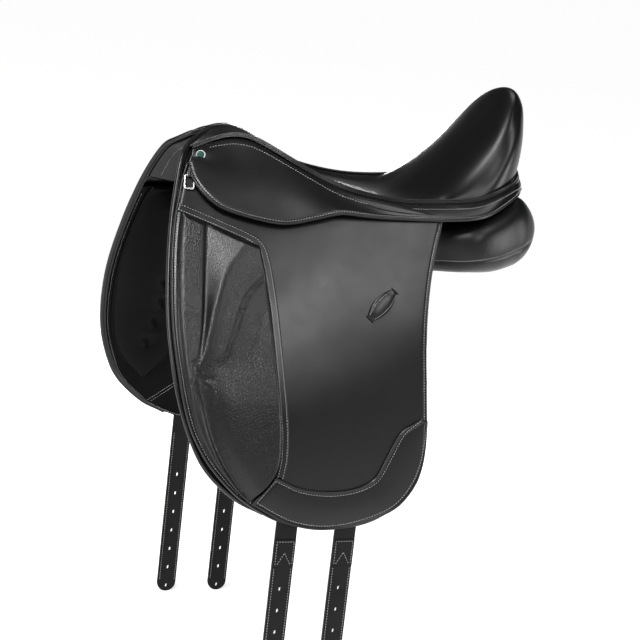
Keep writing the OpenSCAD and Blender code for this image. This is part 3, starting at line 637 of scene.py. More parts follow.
grey_thread = thread("grey_thread", (0.3, 0.3, 0.3))
chrome = metal("dee_chrome", (0.62, 0.63, 0.65), 0.22, 60)
steel = metal("bright_steel", (0.5, 0.51, 0.52), 0.36, 90)
dark_steel = metal("tree_steel", (0.2, 0.2, 0.21), 0.45, 70)
rim_steel = metal("rim_steel", (0.3, 0.31, 0.32), 0.45, 90)
tree_wood = wood("tree_wood", (0.012, 0.008, 0.006), (0.03, 0.021, 0.015))
webbing = woven("webbing", (0.008, 0.008, 0.009), (0.03, 0.03, 0.032), 0.0018)
foam_cloth = woven("foam_cloth", (0.05, 0.045, 0.035), (0.16, 0.14, 0.11), 0.0022)


# Camera at the photograph's viewing angle
CAMERA_YAW = math.radians(21.7)
CAMERA_PITCH = math.radians(12.23)
CAMERA_ROLL = math.radians(6.63)
CAMERA_AIM = np.array([-168.84, 0, -230.79])
CAMERA_FAR = 2409.75
CAMERA_LENS = 108.55
CAMERA_SENSOR = 36


def camera():
    level = math.cos(CAMERA_PITCH)
    sine, cosine = math.sin(CAMERA_YAW), math.cos(CAMERA_YAW)
    ahead = np.array([-sine * level, -cosine * level, -math.sin(CAMERA_PITCH)])
    right = np.array([-cosine, sine, 0])
    up = np.cross(right, ahead)
    x = math.cos(CAMERA_ROLL) * right + math.sin(CAMERA_ROLL) * up
    y = math.cos(CAMERA_ROLL) * up - math.sin(CAMERA_ROLL) * right
    place = model(CAMERA_AIM - ahead * CAMERA_FAR)
    data = bpy.data.cameras.new("camera")
    data.lens = CAMERA_LENS
    data.sensor_width = CAMERA_SENSOR
    obj = add_object("camera", data)
    obj.matrix_world = Matrix([[x[k], y[k], -ahead[k], place[k]] for k in range(3)] + [[0, 0, 0, 1]])
    bpy.context.scene.camera = obj


# Lamps: direction from the object, width and height in metres, and power
LAMP_AIM = Vector((0.0, 0.1, -0.1))
LAMP_FAR = 2.0
LAMPS = {
    "main_light": ((-0.09, 0.83, 0.55), 0.5, 0.7, 12),
    "high_light": ((-0.38, 0.49, 0.78), 0.5, 0.5, 8),
    "front_light": ((0.86, 0.36, 0.36), 0.6, 0.8, 24),
    "top_light": ((0.46, 0.5, 0.73), 0.4, 0.35, 30),
    "crown_light": ((0.5, 0.08, 0.86), 0.6, 0.6, 26),
    "back_light": ((-0.24, -0.47, 0.85), 0.6, 0.4, 4),
    "rear_light": ((-0.87, 0.48, 0.08), 0.8, 1.0, 20),
    "off_light": ((-0.38, -0.92, 0.02), 0.8, 0.5, 26),
}


def softbox(name, way, width, height, power):
    """Rectangular lamp that stands off the object in one direction and faces it."""
    place = LAMP_AIM + LAMP_FAR * Vector(way).normalized()
    data = bpy.data.lights.new(name, "AREA")
    data.shape = "RECTANGLE"
    data.size = width
    data.size_y = height
    data.energy = power
    obj = add_object(name, data)
    obj.location = place
    obj.rotation_euler = (LAMP_AIM - place).to_track_quat("-Z", "Y").to_euler()


def backdrop_share(tree):
    """One on rays that show the background: camera, glossy and transmission rays."""
    path = add_node(tree, "LightPath")
    total = path.outputs["Is Camera Ray"]
    for ray in ("Is Glossy Ray", "Is Transmission Ray"):
        pair = {0: total, 1: path.outputs[ray]}
        total = add_node(tree, "Math", pair, operation="MAXIMUM").outputs["Value"]
    return total


WHITE = (1, 1, 1, 1)
AMBIENT = 0.035
BACKDROP = 0.95
# Heights over which the horizon fades, half width of the floor, and where its glow starts and ends
HORIZON = (0.06, 0.25)
FLOOR_HALF = 90
FLOOR_FADE = (0.6, 3.5)
FLOOR_GLOW = 0.45


def studio():
    """Horizon that shows only in the background, a white floor that fades into it, and the lamps."""
    scene = bpy.context.scene
    scene.view_settings.view_transform = "Standard"
    scene.world = bpy.data.worlds.new("studio")
    scene.world.use_nodes = True
    tree = scene.world.node_tree
    way = add_node(tree, "SeparateXYZ", {0: add_node(tree, "TexCoord").outputs["Generated"]})
    band = span(tree, way.outputs["Z"], *HORIZON, BACKDROP, 0)
    sky = {0: band, 1: backdrop_share(tree), 2: AMBIENT}
    wall = add_node(tree, "Math", sky, operation="MULTIPLY_ADD")
    plug(tree, tree.nodes["Background"], "Color", WHITE)
    plug(tree, tree.nodes["Background"], "Strength", wall.outputs["Value"])
    mesh = bpy.data.meshes.new("floor")
    corners = ((-1, -1), (1, -1), (1, 1), (-1, 1))
    spots = [(FLOOR_HALF * a, FLOOR_HALF * b, cad_box[0][2]) for a, b in corners]
    mesh.from_pydata(spots, [], [(0, 1, 2, 3)])
    floor = add_object("floor", mesh)
    mat, tree, place = shader("floor", Roughness=0.9, Specular_IOR_Level=0.0, Emission_Color=WHITE)
    speck = noise(tree, place, 3).outputs["Fac"]
    reach = add_node(tree, "VectorMath", {0: place}, operation="LENGTH").outputs["Value"]
    glow = {0: backdrop_share(tree), 1: span(tree, reach, *FLOOR_FADE, FLOOR_GLOW, BACKDROP)}
    shown = add_node(tree, "Math", glow, operation="MULTIPLY").outputs["Value"]
    paint(tree, Base_Color=ramp(tree, speck, 0.3, 0.7, (0.80, 0.80, 0.80), (0.83, 0.83, 0.83)),
          Emission_Strength=shown)
    mesh.materials.append(mat)
    for name, lamp in LAMPS.items():
        softbox(name, *lamp)


camera()
studio()


# Seat
def seat_grid(rows, cols):
    return np.meshgrid(np.linspace(*rows), np.linspace(*cols), indexing="ij")


def seat_skin(u, v):
    w = welt_line(u)
    m = middle_line(u)
    a = np.abs(v)
    x = lerp(m[..., 0], w[..., 0], a**1.5)
    y = -np.sign(v) * w[..., 1] * np.sin(np.pi / 2 * a)
    crown = np.cos(np.pi / 2 * np.minimum(a, 1)).clip(0) ** seat_peak(u)
    z = w[..., 2] + (m[..., 2] - w[..., 2]) * crown + side_rise(u) * 6.75 * a**2 * (1 - a)
    return np.stack([x, y, z], -1)


def seat_form(u, v):
    """Seat face with the soft fold down the side of the cantle, calmed beside it."""
    p = seat_skin(u, v)
    a = np.abs(v)
    away = (a - fold_share(u)) * FOLD_SPAN
    fade = smooth(0.67, 0.73, u) * (1 - smooth(0.83, 0.89, u)) * (1 - smooth(0.93, 1.0, a))
    push = -3.8 * fade * bell(away, 15)
    inside = np.stack([p[..., 0] + 25, 0.2 * p[..., 1], p[..., 2] - 30], -1)
    p = p + push[..., None] * unit(p - inside)
    calm = smooth(0.52, 0.62, u) * smooth(0.3, 0.6, a)
    return lerp(p, soften(p, 7), calm[..., None])


def seat_sunk(u, v, depth):
    """Surface at a depth below the seat leather."""
    w = welt_line(u)
    m = middle_line(u)
    core = np.stack([np.maximum(m[..., 0], -300), 0 * u, w[..., 2] - 0.9 * w[..., 1]], -1)
    p = seat_skin(u, v)
    return p - np.minimum(depth, w[..., 1] / 2)[..., None] * unit(p - core)


def seat_nose(v):
    """Rows of leather that roll from the front of the seat down to the rim."""
    edge = seat_skin(np.zeros_like(v), v)
    ahead = unit(edge - seat_skin(np.full_like(v, 0.015), v))
    target = rim(2.15 * np.abs(v) ** 0.85)
    target[:, 1] *= -np.sign(v)
    target = target + unit(edge - target) * 2.0
    turn = edge + ahead * np.linalg.norm(edge - target, axis=-1, keepdims=True) * 0.45
    w = np.linspace(0, 1, 15)[:-1, None, None]
    return (1 - w) ** 2 * target + 2 * w * (1 - w) * turn + w**2 * edge


SEAT_T = 14.0
NOSE_T = 5
NOSE_CORE = np.array([-20, 0, -30.0])


def seat():
    u, v = seat_grid((0, 1, 260), (-1, 1, 161))
    nose = seat_nose(v[0])
    outer = np.concatenate([nose, seat_form(u, v)])
    inner = np.concatenate([nose + NOSE_T * unit(NOSE_CORE - nose), seat_sunk(u, v, SEAT_T)])
    parts = [shell(outer, inner, np.zeros(outer.shape[:2], bool))]
    both = np.stack([outer, inner])
    for wall in (both[:, 0], both[:, -1], both[:, :, 0], both[:, :, -1]):
        parts.append((wall.reshape(-1, 3), grid_faces(np.arange(wall.size // 3).reshape(2, -1))))
    single("seat_leather_top", weld(*join(parts)), seat_leather, nodes=["seat_cover", "seat_foam"],
           slot="seat_leather", fill=0.85)


def welt_out(u):
    t = welt_line(np.minimum(u + 0.01, 1)) - welt_line(np.maximum(u - 0.01, 0))
    return unit(np.stack([t[..., 1], -t[..., 0], 0 * u], -1))


WELT_R = 2.8


def welt_centre(u):
    return welt_line(u) + WELT_R * welt_out(u)


# Cords of the welt: distance up and outward from its centre, and radius
WELT_CORDS = ((1.2, -1.0, 1.55), (-1.9, 0.6, 1.1), (-0.4, -0.6, 1.3))


def welt():
    u = np.linspace(0, 1, 200)
    cords = []
    for up, out, radius in WELT_CORDS:
        side = welt_centre(u) + np.array([0, 0, up]) + out * welt_out(u)
        whole = resample(np.concatenate([side, side[::-1] * MIRROR]), 2.5)
        cords.append(tube(soften(whole, 2), radius))
    single("welt", join(cords), piping_leather, nodes=["seat_welt"], slot="piping_leather")


# Skirt with its lifting lobe
SKIRT_T = 4.0
SKIRT_FINE = 80
FOLD_AXIS = unit(FOLD_FRONT - FOLD_REAR)
SKIRT_OUT = unit(np.array([0.25, 1, 0.6]))
FOLD_DOWN = np.cross(FOLD_AXIS, SKIRT_OUT)
FOLD_DOWN = FOLD_DOWN * -np.sign(FOLD_DOWN[2])
FOLD_MID = (FOLD_FRONT + FOLD_REAR) / 2
SKIRT_BEND = ("skirt_body_left", FOLD_MID - 4 * FOLD_DOWN, FOLD_MID + 5 * FOLD_DOWN)


def skirt_edge(u):
    front = lobe_edge(np.clip(u / FOLD_AT, 0, 1))
    rear = strip_edge(np.clip(u, FOLD_AT, 1))
    return np.where((u < FOLD_AT)[..., None], front, rear)


def skirt_surface():
    """Grid of the outer face: rows from the welt to the edge, columns from the front to the back."""
    u = np.concatenate([np.array(NEAR[:-1]) / 1200, np.linspace(0.006, 1, 300)])
    top = welt_centre(u) - np.array([0, 0, WELT_R])
    whole = np.linspace(0, 1, 800)
    edge = rows_at(u, whole, soften(skirt_edge(whole), 9))
    fold = lerp(FOLD_FRONT, FOLD_REAR, np.clip(u / FOLD_AT, 0, 1)[:, None])
    columns = []
    for k in range(len(u)):
        line = np.array([top[k], fold[k], edge[k]] if u[k] < FOLD_AT else [top[k], edge[k]])
        fine = resample(line, lengths(line)[-1] / SKIRT_FINE)
        fine = soften(fine[: SKIRT_FINE + 1], 9)
        near = 1 - np.array(NEAR[::-1]) / lengths(fine)[-1]
        at = np.concatenate([np.linspace(0, near[0], 26)[:-1], near])
        columns.append(rows_at(at, np.linspace(0, 1, SKIRT_FINE + 1), fine))
    columns = np.array(columns)
    grid = np.concatenate([columns[:12], soften(columns, 2.0)[12:]]).transpose(1, 0, 2)
    last = grid[:, -1:] * np.array([1, 0, 1]) - np.array([1.2, 0, 0])
    return np.concatenate([grid, lerp(grid[:, -1:], last, 0.5), last], 1)


def skirt():
    face = skirt_surface()
    n = grid_normal(face, (0, 1, 0.5))
    run = lengths(face)
    crown = np.sin(np.pi * run / run[-1]) * (1.2 + 1.8 * smooth(-110, -170, face[..., 0]))
    face = face + n * crown[..., None]
    part, outer, n = leather_sheet(face - SKIRT_T / 2 * n, SKIRT_T, (0, 1, 0.5))
    sided("skirt_left_leather", part, smooth_leather, nodes=["skirt_left", "skirt_band"],
          bend=SKIRT_BEND, slot="smooth_leather")
    low = outer.shape[0] - 1 - SEW
    edge, edge_normal = [np.concatenate([g[8 : low + 1, SEW], g[low, SEW + 1 :]]) for g in (outer, n)]
    run = lengths(outer)
    inner = []
    inner_normal = []
    for k in range(np.argmin(np.abs(outer[14, :, 0] - 17)), outer.shape[1]):
        want = lerp(12.0, 0.52 * run[-1, k], smooth(-90, -190, outer[0, k, 0]))
        inner.append(rows_at(want, run[:, k], outer[:, k]))
        inner_normal.append(rows_at(want, run[:, k], n[:, k]))
    rows = [stitches(edge, edge_normal), stitches(soften(np.array(inner), 3), np.array(inner_normal))]
    sided("skirt_stitches_left", join(rows), grey_thread, bend=SKIRT_BEND)
    spot = np.argmin(np.abs(outer[14, :, 0] - 25))
    at = np.argmin(np.abs(outer[:, spot, 2] + 26))
    stud(outer[at, spot] + 1.4 * STUD_AXIS)


# Stud: radius and height of its rim and of its face
STUD_AXIS = unit(np.array([0.32, 0.88, 0.35]))
STUD_RIM = ((3, -3), (5.0, -2.4), (5.8, 0), (5.8, 0.6), (5.5, 1.1), (5.0, 1.3), (4.5, 1.2), (4.3, 0.8),
            (0.2, 0.7))
STUD_FACE = ((4.4, 0.4), (4.4, 0.8), (3.6, 1.15), (2.4, 1.4), (1.2, 1.5), (0.2, 1.52))


def stud(centre):
    """Plain stud: a steel rim round a smooth enamel face."""
    ring = lathe(centre, STUD_AXIS, STUD_RIM, 40)
    sided("stud_ring_left", ring, rim_steel, nodes=["skirt_stud_left"], slot="bright_steel")
    sided("stud_face_left", lathe(centre, STUD_AXIS, STUD_FACE, 40), enamel)


# Flap
FLAP_BEND = ("flap_body_left", np.array([0.0, 90, -73]), np.array([0.0, 90, -80]))


def flap_outline():
    """Boundary as x and drop, from the top of the front edge round to the top of the rear edge."""
    d = np.concatenate([np.linspace(32, 380, 150), np.linspace(381, FLAP_END, 60)])
    front = np.stack([flap_front(d), d], 1)
    d = np.concatenate([np.linspace(66, 370, 130), np.linspace(371, FLAP_END, 60)])
    rear = np.stack([flap_rear(d), d], 1)[::-1]
    line = soften(resample(np.concatenate([front, rear]), 2.0), 2.5)
    return line if len(line) % 2 else line[1:]


def beside(line):
    """Directions at right angles to a line of x and drop points; inward for the flap's outline."""
    tangent = unit(np.gradient(line, axis=0))
    return np.stack([-tangent[:, 1], tangent[:, 0]], 1)


def flap_grid(line, inward):
    count = len(line) // 2 + 1
    spine = np.stack([np.linspace(-100, -116, count), np.linspace(46, 402, count)], 1)
    rows = []
    for k in range(count):
        halves = []
        for j in (k, len(line) - 1 - k):
            edge = line[j] + inward[j] * np.array(NEAR)[:, None]
            rest = lerp(edge[-1], spine[k], np.linspace(0, 1, 22)[1:, None])
            halves.append(np.concatenate([edge, rest]))
        rows.append(np.concatenate([halves[0], halves[1][-2::-1]]))
    return np.array(rows)


def flap():
    line = flap_outline()
    inward = beside(line)
    xd = flap_grid(line, inward)
    run = np.full(xd.shape[:2], 20.0)
    run[:, : len(NEAR)] = NEAR
    run[:, -len(NEAR) :] = NEAR[::-1]
    run[0] = 0
    half = half_round(run, FLAP_T)
    mid = raised(xd, -FLAP_T / 2)
    n = face_normal(xd[..., 0], xd[..., 1])
    sag = 0.8 * bell(xd[..., 0] + 110, 60) * bell(xd[..., 1] - 230, 90)
    outer = mid + n * (half + (lip(run) - sag) * (half > 0))[..., None]
    mask = np.zeros(run.shape, bool)
    mask[:, [0, -1]] = True
    mask[0] = True
    part = cut_window(shell(outer, mid - n * half[..., None], mask))
    sided("flap_left_leather", part, smooth_leather, nodes=["flap_left", "flap_top_left"],
          bend=FLAP_BEND, slot="smooth_leather")
    row = line + CHANNEL * inward
    row = row[(row[:, 1] > 84) & (row[:, 1] < 432)]
    sided("flap_stitches_left", face_stitches(row, -0.1), grey_thread, "flap_body_left")


# Window round the stirrup bar: place of the bar on the flap, half sizes, corner radius and reach
BAR_AT = (-27, 62)
WINDOW_HALF_L = 51.0
WINDOW_HALF_H = 16.5
WINDOW_R = 7.0
WINDOW_REACH = 22


def cut_window(part):
    """Opens the fixed top of the flap round the stirrup bar."""
    flap_obj = make("flap_work", part, smooth_leather)
    along, out, up = face_axes(*BAR_AT)
    centre = on_face(*BAR_AT) - 7 * along + 3.5 * up
    ring = []
    for sx, sz, first in ((1, 1, 0), (-1, 1, 90), (-1, -1, 180), (1, -1, 270)):
        for a in np.radians(np.linspace(first, first + 90, 7)):
            across = sx * (WINDOW_HALF_L - WINDOW_R) + WINDOW_R * math.cos(a)
            high = sz * (WINDOW_HALF_H - WINDOW_R) + WINDOW_R * math.sin(a)
            ring.append(centre + across * along + high * up)
    rings = [np.array(ring) + out * h for h in (-WINDOW_REACH, WINDOW_REACH)]
    cutter = make("window_work", capped(rings), smooth_leather)
    change = flap_obj.modifiers.new("window", "BOOLEAN")
    change.object = cutter
    change.operation = "DIFFERENCE"
    change.solver = "EXACT"
    points, faces = take(flap_obj)
    bpy.data.objects.remove(cutter)
    return points * 1000 - POMMEL, faces


# Knee pad
def dome(line, edge, valley, high, low, steep):
    """Round lens from the pad's edge to a valley."""
    t = np.clip((edge - line) / (edge - valley), 0, 1)
    front = 1 - (1 - np.clip(t / 0.24, 0, 1)) ** 2.2
    back = 1 - np.clip((t - steep) / (1 - steep), 0, 1) ** 2
    return lerp(0.5, low, t) + (high - low) * front * back


def pad_height(x, drop, front):
    """Height of the knee pad: front lens, crease, facet up to a crest, smooth top, ridge and hollow."""
    total = np.zeros_like(x)
    line = np.linspace(-90, 75, 661)
    for row in range(len(x)):
        d = drop[row].mean()
        share = float(crest_share(d))
        edge = front[row].mean()
        crease = min(float(crease_x(d)), edge - 5)
        crest = min(float(crest_x(d)), crease - 2)
        ridge = min(float(ridge_x(d)), crest - 5)
        top = lerp(4.0, 15.5, share)
        profile = ((-90, 5.4), (ridge - 34, 5.0), (ridge - 8, lerp(4.4, 8.2, share)),
                   (ridge, top - 3.6 * share), (lerp(crest, ridge, 0.6), top - 4.2 * share),
                   (crest - 4, top - 2.2 * share), (crest, top),
                   (crest + 2.0, lerp(3.8, 13.2, share)), (crease, 1.2))
        upper = np.interp(line, *zip(*profile))
        upper = soften(np.where(line > crease, dome(line, edge, crease, 7.2, 1.2, 0.8), upper), 5)
        roll = min(float(roll_x(d)), edge - 5)
        profile = ((-90, 5.4), (roll - 40, 9.0), (roll - 22, 7.6), (roll - 7, 2.2), (roll, 0.6))
        below = soften(np.interp(line, *zip(*profile)), 18)
        below = soften(np.where(line > roll, dome(line, edge, roll, 6.6, 0.6, 0.45), below), 5)
        total[row] = np.interp(x[row], line, lerp(upper, below, float(smooth(235, 285, d))))
    return total


def wrinkles(x, drop, seed, count, size, cx, cd, reach):
    """Small creases that gather at a point of the leather."""
    pick = np.random.default_rng(seed)
    total = np.zeros_like(x)
    for _ in range(count):
        angle = pick.uniform(0, np.pi)
        px, pd = cx + pick.normal(0, reach), cd + pick.normal(0, reach)
        s = (x - px) * math.cos(angle) + (drop - pd) * math.sin(angle)
        t = (drop - pd) * math.cos(angle) - (x - px) * math.sin(angle)
        total += bell(s, 1.5) * bell(t, pick.uniform(4, 9)) * pick.uniform(-1, 0.6)
    return size * total


PAD_NEAR = (0, 0.2, 0.7, 1.5, 2.5, 3.8)
PAD_END = 394
PAD_LIFT = 0.3


def knee_pad():
    r, s = spread_grid((190, 290, PAD_NEAR), (96, 95, PAD_NEAR))
    drop = lerp(lerp(86.5, 116, s), PAD_END, r)
    front = flap_front(drop) - 6.8
    x = lerp(front, pad_rear(drop), s)
    flat = on_face(x, drop, PAD_LIFT)
    run = edge_run(flat)
    height = soften(pad_height(x, drop, front), 1.5) * np.clip(run / 4, 0, 1) ** 0.5
    calm = smooth(1, 6, run)
    height += wrinkles(x, drop, 3, 18, 0.7, 43, 262, 7) * calm
    height += wrinkles(x, drop, 5, 30, 0.2, 15, 335, 22) * calm
    part = shell(on_face(x, drop, PAD_LIFT + height), flat)
    sided("knee_pad_left_leather", part, grained_leather, "flap_body_left", nodes=["knee_pad_left"],
          slot="grained_leather", fill=0.8)


def band():
    """Stitched binding round the top and rear of the knee pad."""
    line = soften(resample(BAND_LINE, 1.5), 3.5)
    part = ribbon(raised(line, 0.6), face_normal(line[:, 0], line[:, 1]), 10, 2.4)
    sided("knee_band_left", part, smooth_leather, "flap_body_left", slot="smooth_leather")
    rows = [face_stitches(line + beside(line) * e, 1.75) for e in (2.9, -2.9)]
    sided("knee_band_stitches_left", join(rows), grey_thread, "flap_body_left")


# Patch along the bottom of the flap
PATCH_T = 2.4


def patch():
    q = spread(150, 330)
    t = spread(26, 36)[:, None]
    mid = raised(lerp(patch_inner(q)[None], patch_outer(q)[None], t[..., None]), PATCH_T / 2)
    crown = 1.1 * np.sin(np.pi * t) * (edge_run(mid) > 0)
    part, outer, n = leather_sheet(mid, PATCH_T, (0, 1, 0), rise=crown)
    sided("flap_patch_left_leather", part, smooth_leather, "flap_body_left", nodes=["flap_patch_left"],
          slot="smooth_leather")
    path, normal = [np.concatenate([g[SEW:-SEW, SEW][::-1], g[SEW, SEW + 1 :]]) for g in (outer, n)]
    rows = [stitches(path, normal), stitches(outer[-1 - SEW, SEW:], n[-1 - SEW, SEW:])]
    sided("flap_patch_stitches_left", join(rows), grey_thread, "flap_body_left")


# Keeper: place on the flap, turn, size, and radii of the slits at its ends
KEEPER_AT = (-178, 172)
KEEPER_TURN = math.radians(40)
KEEPER_L = 46.0
KEEPER_W = 21.0
SLIT = (0.3, 0.6, 0.7, 0.8, 0.8, 0.8, 0.7, 0.6, 0.3)


def keeper():
    along, out, up = face_axes(*KEEPER_AT)
    base = on_face(*KEEPER_AT)
    across = along * math.cos(KEEPER_TURN) + up * math.sin(KEEPER_TURN)
    ahead = up * math.cos(KEEPER_TURN) - along * math.sin(KEEPER_TURN)
    s, t = spread_grid((40, KEEPER_L, (0, 0.2, 0.6, 1.2, 2.0)),
                       (18, KEEPER_W * 0.8, (0, 0.2, 0.6, 1.2, 1.8, 2.4, 3.0)))
    s = 2 * s - 1
    t = t - 0.5
    wide = KEEPER_W * (0.32 + 0.68 * (1 - np.abs(s) ** 1.9))
    high = 0.2 + 3.4 * (1 - s**4) - 1.6 * (2 * t) ** 2 * (1 - s**4)
    mid = base + across * (wide * t)[..., None] + ahead * (-s * KEEPER_L / 2)[..., None]
    part, outer, n = leather_sheet(mid + out * (high + 0.9)[..., None], 2.0, out, edge_lip=False)
    sided("keeper_left_leather", part, smooth_leather, "flap_body_left", nodes=["keeper_left"],
          slot="smooth_leather")
    rows = [stitches(outer[5:-5, j], n[5:-5, j], pitch=2.4, long=1.7, wide=0.6) for j in (6, -7)]
    sided("keeper_stitches_left", join(rows), grey_thread, "flap_body_left")
    slits = []
    for e in (-1, 1):
        at = base + ahead * (e * KEEPER_L / 2) + out * 0.1
        slits.append(tube(at + across * np.linspace(-6, 6, len(SLIT))[:, None], SLIT, 8))
    sided("keeper_slits_left", join(slits), lining_leather, "flap_body_left")


# Rim, sweat flap and the pads behind it
def rim_piping():
    path = resample(rim(np.linspace(0, 12, 260)), 2.5)
    flange = path + 3.6 * unit(np.array([-0.75, -0.1, 0.0])) - np.array([0, 0.6, 0])
    at = np.arange(len(path))
    grow = np.clip(np.minimum(at / 8, (len(path) - at) / 14), 0.35, 1)
    part = join([tube(path, 2.9 * grow), tube(flange, 1.7 * grow, 10)])
    sided("rim_piping_left_leather", part, piping_leather, nodes=["rim_piping_left"],
          slot="piping_leather")


# Sweat flap: drops of its top, of the corner where its front edge leaves the rim, and of its end
SWEAT_TOP = 86
SWEAT_TURN = 397
SWEAT_END = 420


def sweat_flap():
    near = np.array(NEAR)
    drop = np.concatenate([SWEAT_TOP + near, np.linspace(96, 408, 92), SWEAT_END - near[::-1]])
    drop, share = np.meshgrid(drop, spread(50, 250), indexing="ij")
    corner = np.interp(drop, (SWEAT_TURN, 405, 412, SWEAT_END), (-14.2, -30, -48, -76))
    front = np.where(drop < SWEAT_TURN, rim_front(drop) - 3.2, corner)
    rear = flap_rear(np.minimum(drop + 9, FLAP_END)) + 12
    mid = on_face(lerp(front, rear, share), drop, -(SWEAT_OUT + SWEAT_IN) / 2)
    part, outer, n = leather_sheet(mid, SWEAT_IN - SWEAT_OUT, (0, -1, 0))
    sided("sweat_flap_left_leather", part, lining_leather, nodes=["sweat_flap_left"],
          slot="smooth_leather")
    down = slice(12, -SEW)
    rows = [stitches(outer[down, -1 - SEW], n[down, -1 - SEW]),
            stitches(outer[-1 - SEW, SEW:-SEW], n[-1 - SEW, SEW:-SEW]),
            stitches(outer[down, SEW], n[down, SEW])]
    for shift in (0, 5):
        x = np.linspace(-17 - shift, -56, 50)
        line = on_face(x, 396 + shift + 0.75 * (x + 17), -SWEAT_IN - 0.1)
        rows.append(stitches(line, np.tile([0, -1.0, 0.0], (50, 1))))
    sided("sweat_flap_stitches_left", join(rows), grey_thread)


# Tufted pad: points near its edge, fullness, and a knot as radius and height
TUFTED_NEAR = (0, 0.3, 1, 2, 3.2)
TUFTED_T = 22
KNOT = ((0.3, -1), (1.1, -0.6), (1.2, -0.1), (0.9, 0.2), (0.2, 0.3))


def front_pad():
    r, t = spread_grid((140, 277, TUFTED_NEAR), (70, 90, TUFTED_NEAR))
    drop = lerp(88, 365, r)
    x = lerp(lining_front(drop), lining_rear(drop), t)
    flat = on_face(x, drop, -SWEAT_IN - 0.5)
    run = edge_run(flat)
    crown = (np.sin(np.pi * t) * np.sin(np.pi * r**1.25)) ** 0.5
    away = [np.hypot(x - a, drop - b) for a, b in TUFTS]
    dip = np.max([6 * bell(far, 13) + 4 * bell(far, 4.5) for far in away], 0)
    high = np.maximum(TUFTED_T * crown - dip * crown, 2.5 * np.clip(run / 2.5, 0, 1) ** 0.5)
    outer = on_face(x, drop, -SWEAT_IN - 0.5 - high)
    sided("front_pad_left_leather", shell(outer, flat), lining_leather, nodes=["front_pad_left"],
          slot="panel_leather", fill=0.8)
    edge = resample(np.concatenate([flat[1:-1, 1], flat[-2, 2:-2]]), 2.5) - np.array([0, 1.6, 0])
    trim = [tube(edge, 1.5, 8)]
    trim += [lathe(outer.reshape(-1, 3)[np.argmin(far)], (0, -1, 0.1), KNOT, 16) for far in away]
    sided("front_pad_trim_left", join(trim), lining_leather)


# Panel: points round it, front and rear of its length, and the angles of its seams
PANEL_SIDES = 112
PANEL_FRONT = -4
PANEL_END = -400
SEAM_LOW = math.radians(-19)
SEAM_HIGH = math.radians(78)


def panel_point(x, angle):
    section = panel_sections(-x)
    inset, drop, length, thick, lean = [section[..., k] for k in range(5)]
    y = flap_y(np.maximum(x, REAR_X), drop) - PANEL_GAP - inset
    taper = np.sqrt(np.clip(1 - (np.maximum(x - PANEL_FRONT, 0) / 24.1) ** 2, 0.0004, 1))
    taper = taper * np.clip(1 - (np.maximum(-x - 366, 0) / 34.1) ** 2, 0.0004, 1) ** 0.42
    c, s = [np.sign(k) * np.abs(k) ** 0.78 for k in (np.cos(angle), np.sin(angle))]
    p = length * taper * c
    q = thick * taper * s
    lean = np.radians(lean)
    across = p * np.cos(lean) + q * np.sin(lean)
    return np.stack([x, y + across, -drop - p * np.sin(lean) + q * np.cos(lean)], -1)


def panel():
    x = np.concatenate([PANEL_FRONT + 24 * np.sin(np.linspace(np.pi / 2, 0.1, 14)),
                        np.linspace(PANEL_FRONT, -352, 110),
                        PANEL_END + 46 * (1 - np.sin(np.linspace(0.08, np.pi / 2, 22)))])
    angle = np.linspace(0, 2 * np.pi, PANEL_SIDES, endpoint=False)
    x, angle = np.meshgrid(x, angle, indexing="ij")
    ring = panel_point(x, angle)
    rise = ring[..., 2] - ring[..., 2].mean(1, keepdims=True)
    ring[..., 0] += 9 * smooth(-330, -396, x) * smooth(-5, 38, rise)
    across = np.roll(ring, -1, 1) - np.roll(ring, 1, 1)
    n = unit(np.cross(np.gradient(ring, axis=0), across))
    centre = ring.mean(1, keepdims=True)
    n = n * np.sign((n * (ring - centre)).sum(-1, keepdims=True))
    turn = (angle + np.pi) % (2 * np.pi) - np.pi
    size = np.hypot(ring[..., 1] - centre[..., 1], ring[..., 2] - centre[..., 2])
    fade = smooth(-392, -376, x) * (1 - smooth(0, 14, x))
    low = (turn - SEAM_LOW) * size
    push = -2.4 * fade * (bell(low, 2.6) + bell((turn - SEAM_HIGH) * size, 2.6))
    pick = np.random.default_rng(11)
    for _ in range(70):
        px = pick.uniform(-385, -200)
        long = pick.uniform(6, 15)
        push += pick.uniform(-0.35, 0.2) * bell(x - px + 0.25 * low, 1.6) * bell(low - long, long)
    ring = ring + n * push[..., None]
    sided("panel_left_leather", capped(ring), panel_leather, nodes=["panel_left"], slot="panel_leather",
          fill=0.9)
    rows = []
    for place in (SEAM_LOW + 0.055, SEAM_HIGH - 0.055):
        k = int(round(place / (2 * np.pi) * PANEL_SIDES)) % PANEL_SIDES
        rows.append(stitches(ring[12:-14, k], n[12:-14, k], pitch=3.4, long=2.4, wide=0.8))
    sided("panel_stitches_left", join(rows), grey_thread)


# Leather under the pommel and along the gullet
FACING_X = -10.2
GULLET_LINE = ((-45, -82), (-350, -82), (-383, -68), (-396, -42))


def facing():
    p = rim(np.linspace(0, 4.1, 60))
    drop = np.maximum(8 - p[:, 2], 44)
    y = np.minimum(p[:, 1], np.maximum(flap_y(-15, drop) - PANEL_GAP, 12))
    q = np.stack([np.full_like(drop, FACING_X), y, -drop], -1)
    start = p + 3.6 * unit(q - p)
    row = lerp(start[:, None], q[:, None], np.linspace(0, 1, 14)[None, :, None])
    whole = np.concatenate([row[::-1], row * MIRROR])
    inward = unit(np.stack([0 * whole[..., 0], -whole[..., 1], -120 - whole[..., 2]], -1))
    mid = soften(whole + inward, 1.5)
    part = leather_sheet(mid, 2.0, (0, 0, -1), edge_lip=False)[0]
    single("pommel_facing_leather", part, smooth_leather, nodes=["pommel_facing"], slot="smooth_leather")
    low = mid + inward
    single("pommel_facing_stitches", stitches(low[2:-2, 3], inward[2:-2, 3]), grey_thread)


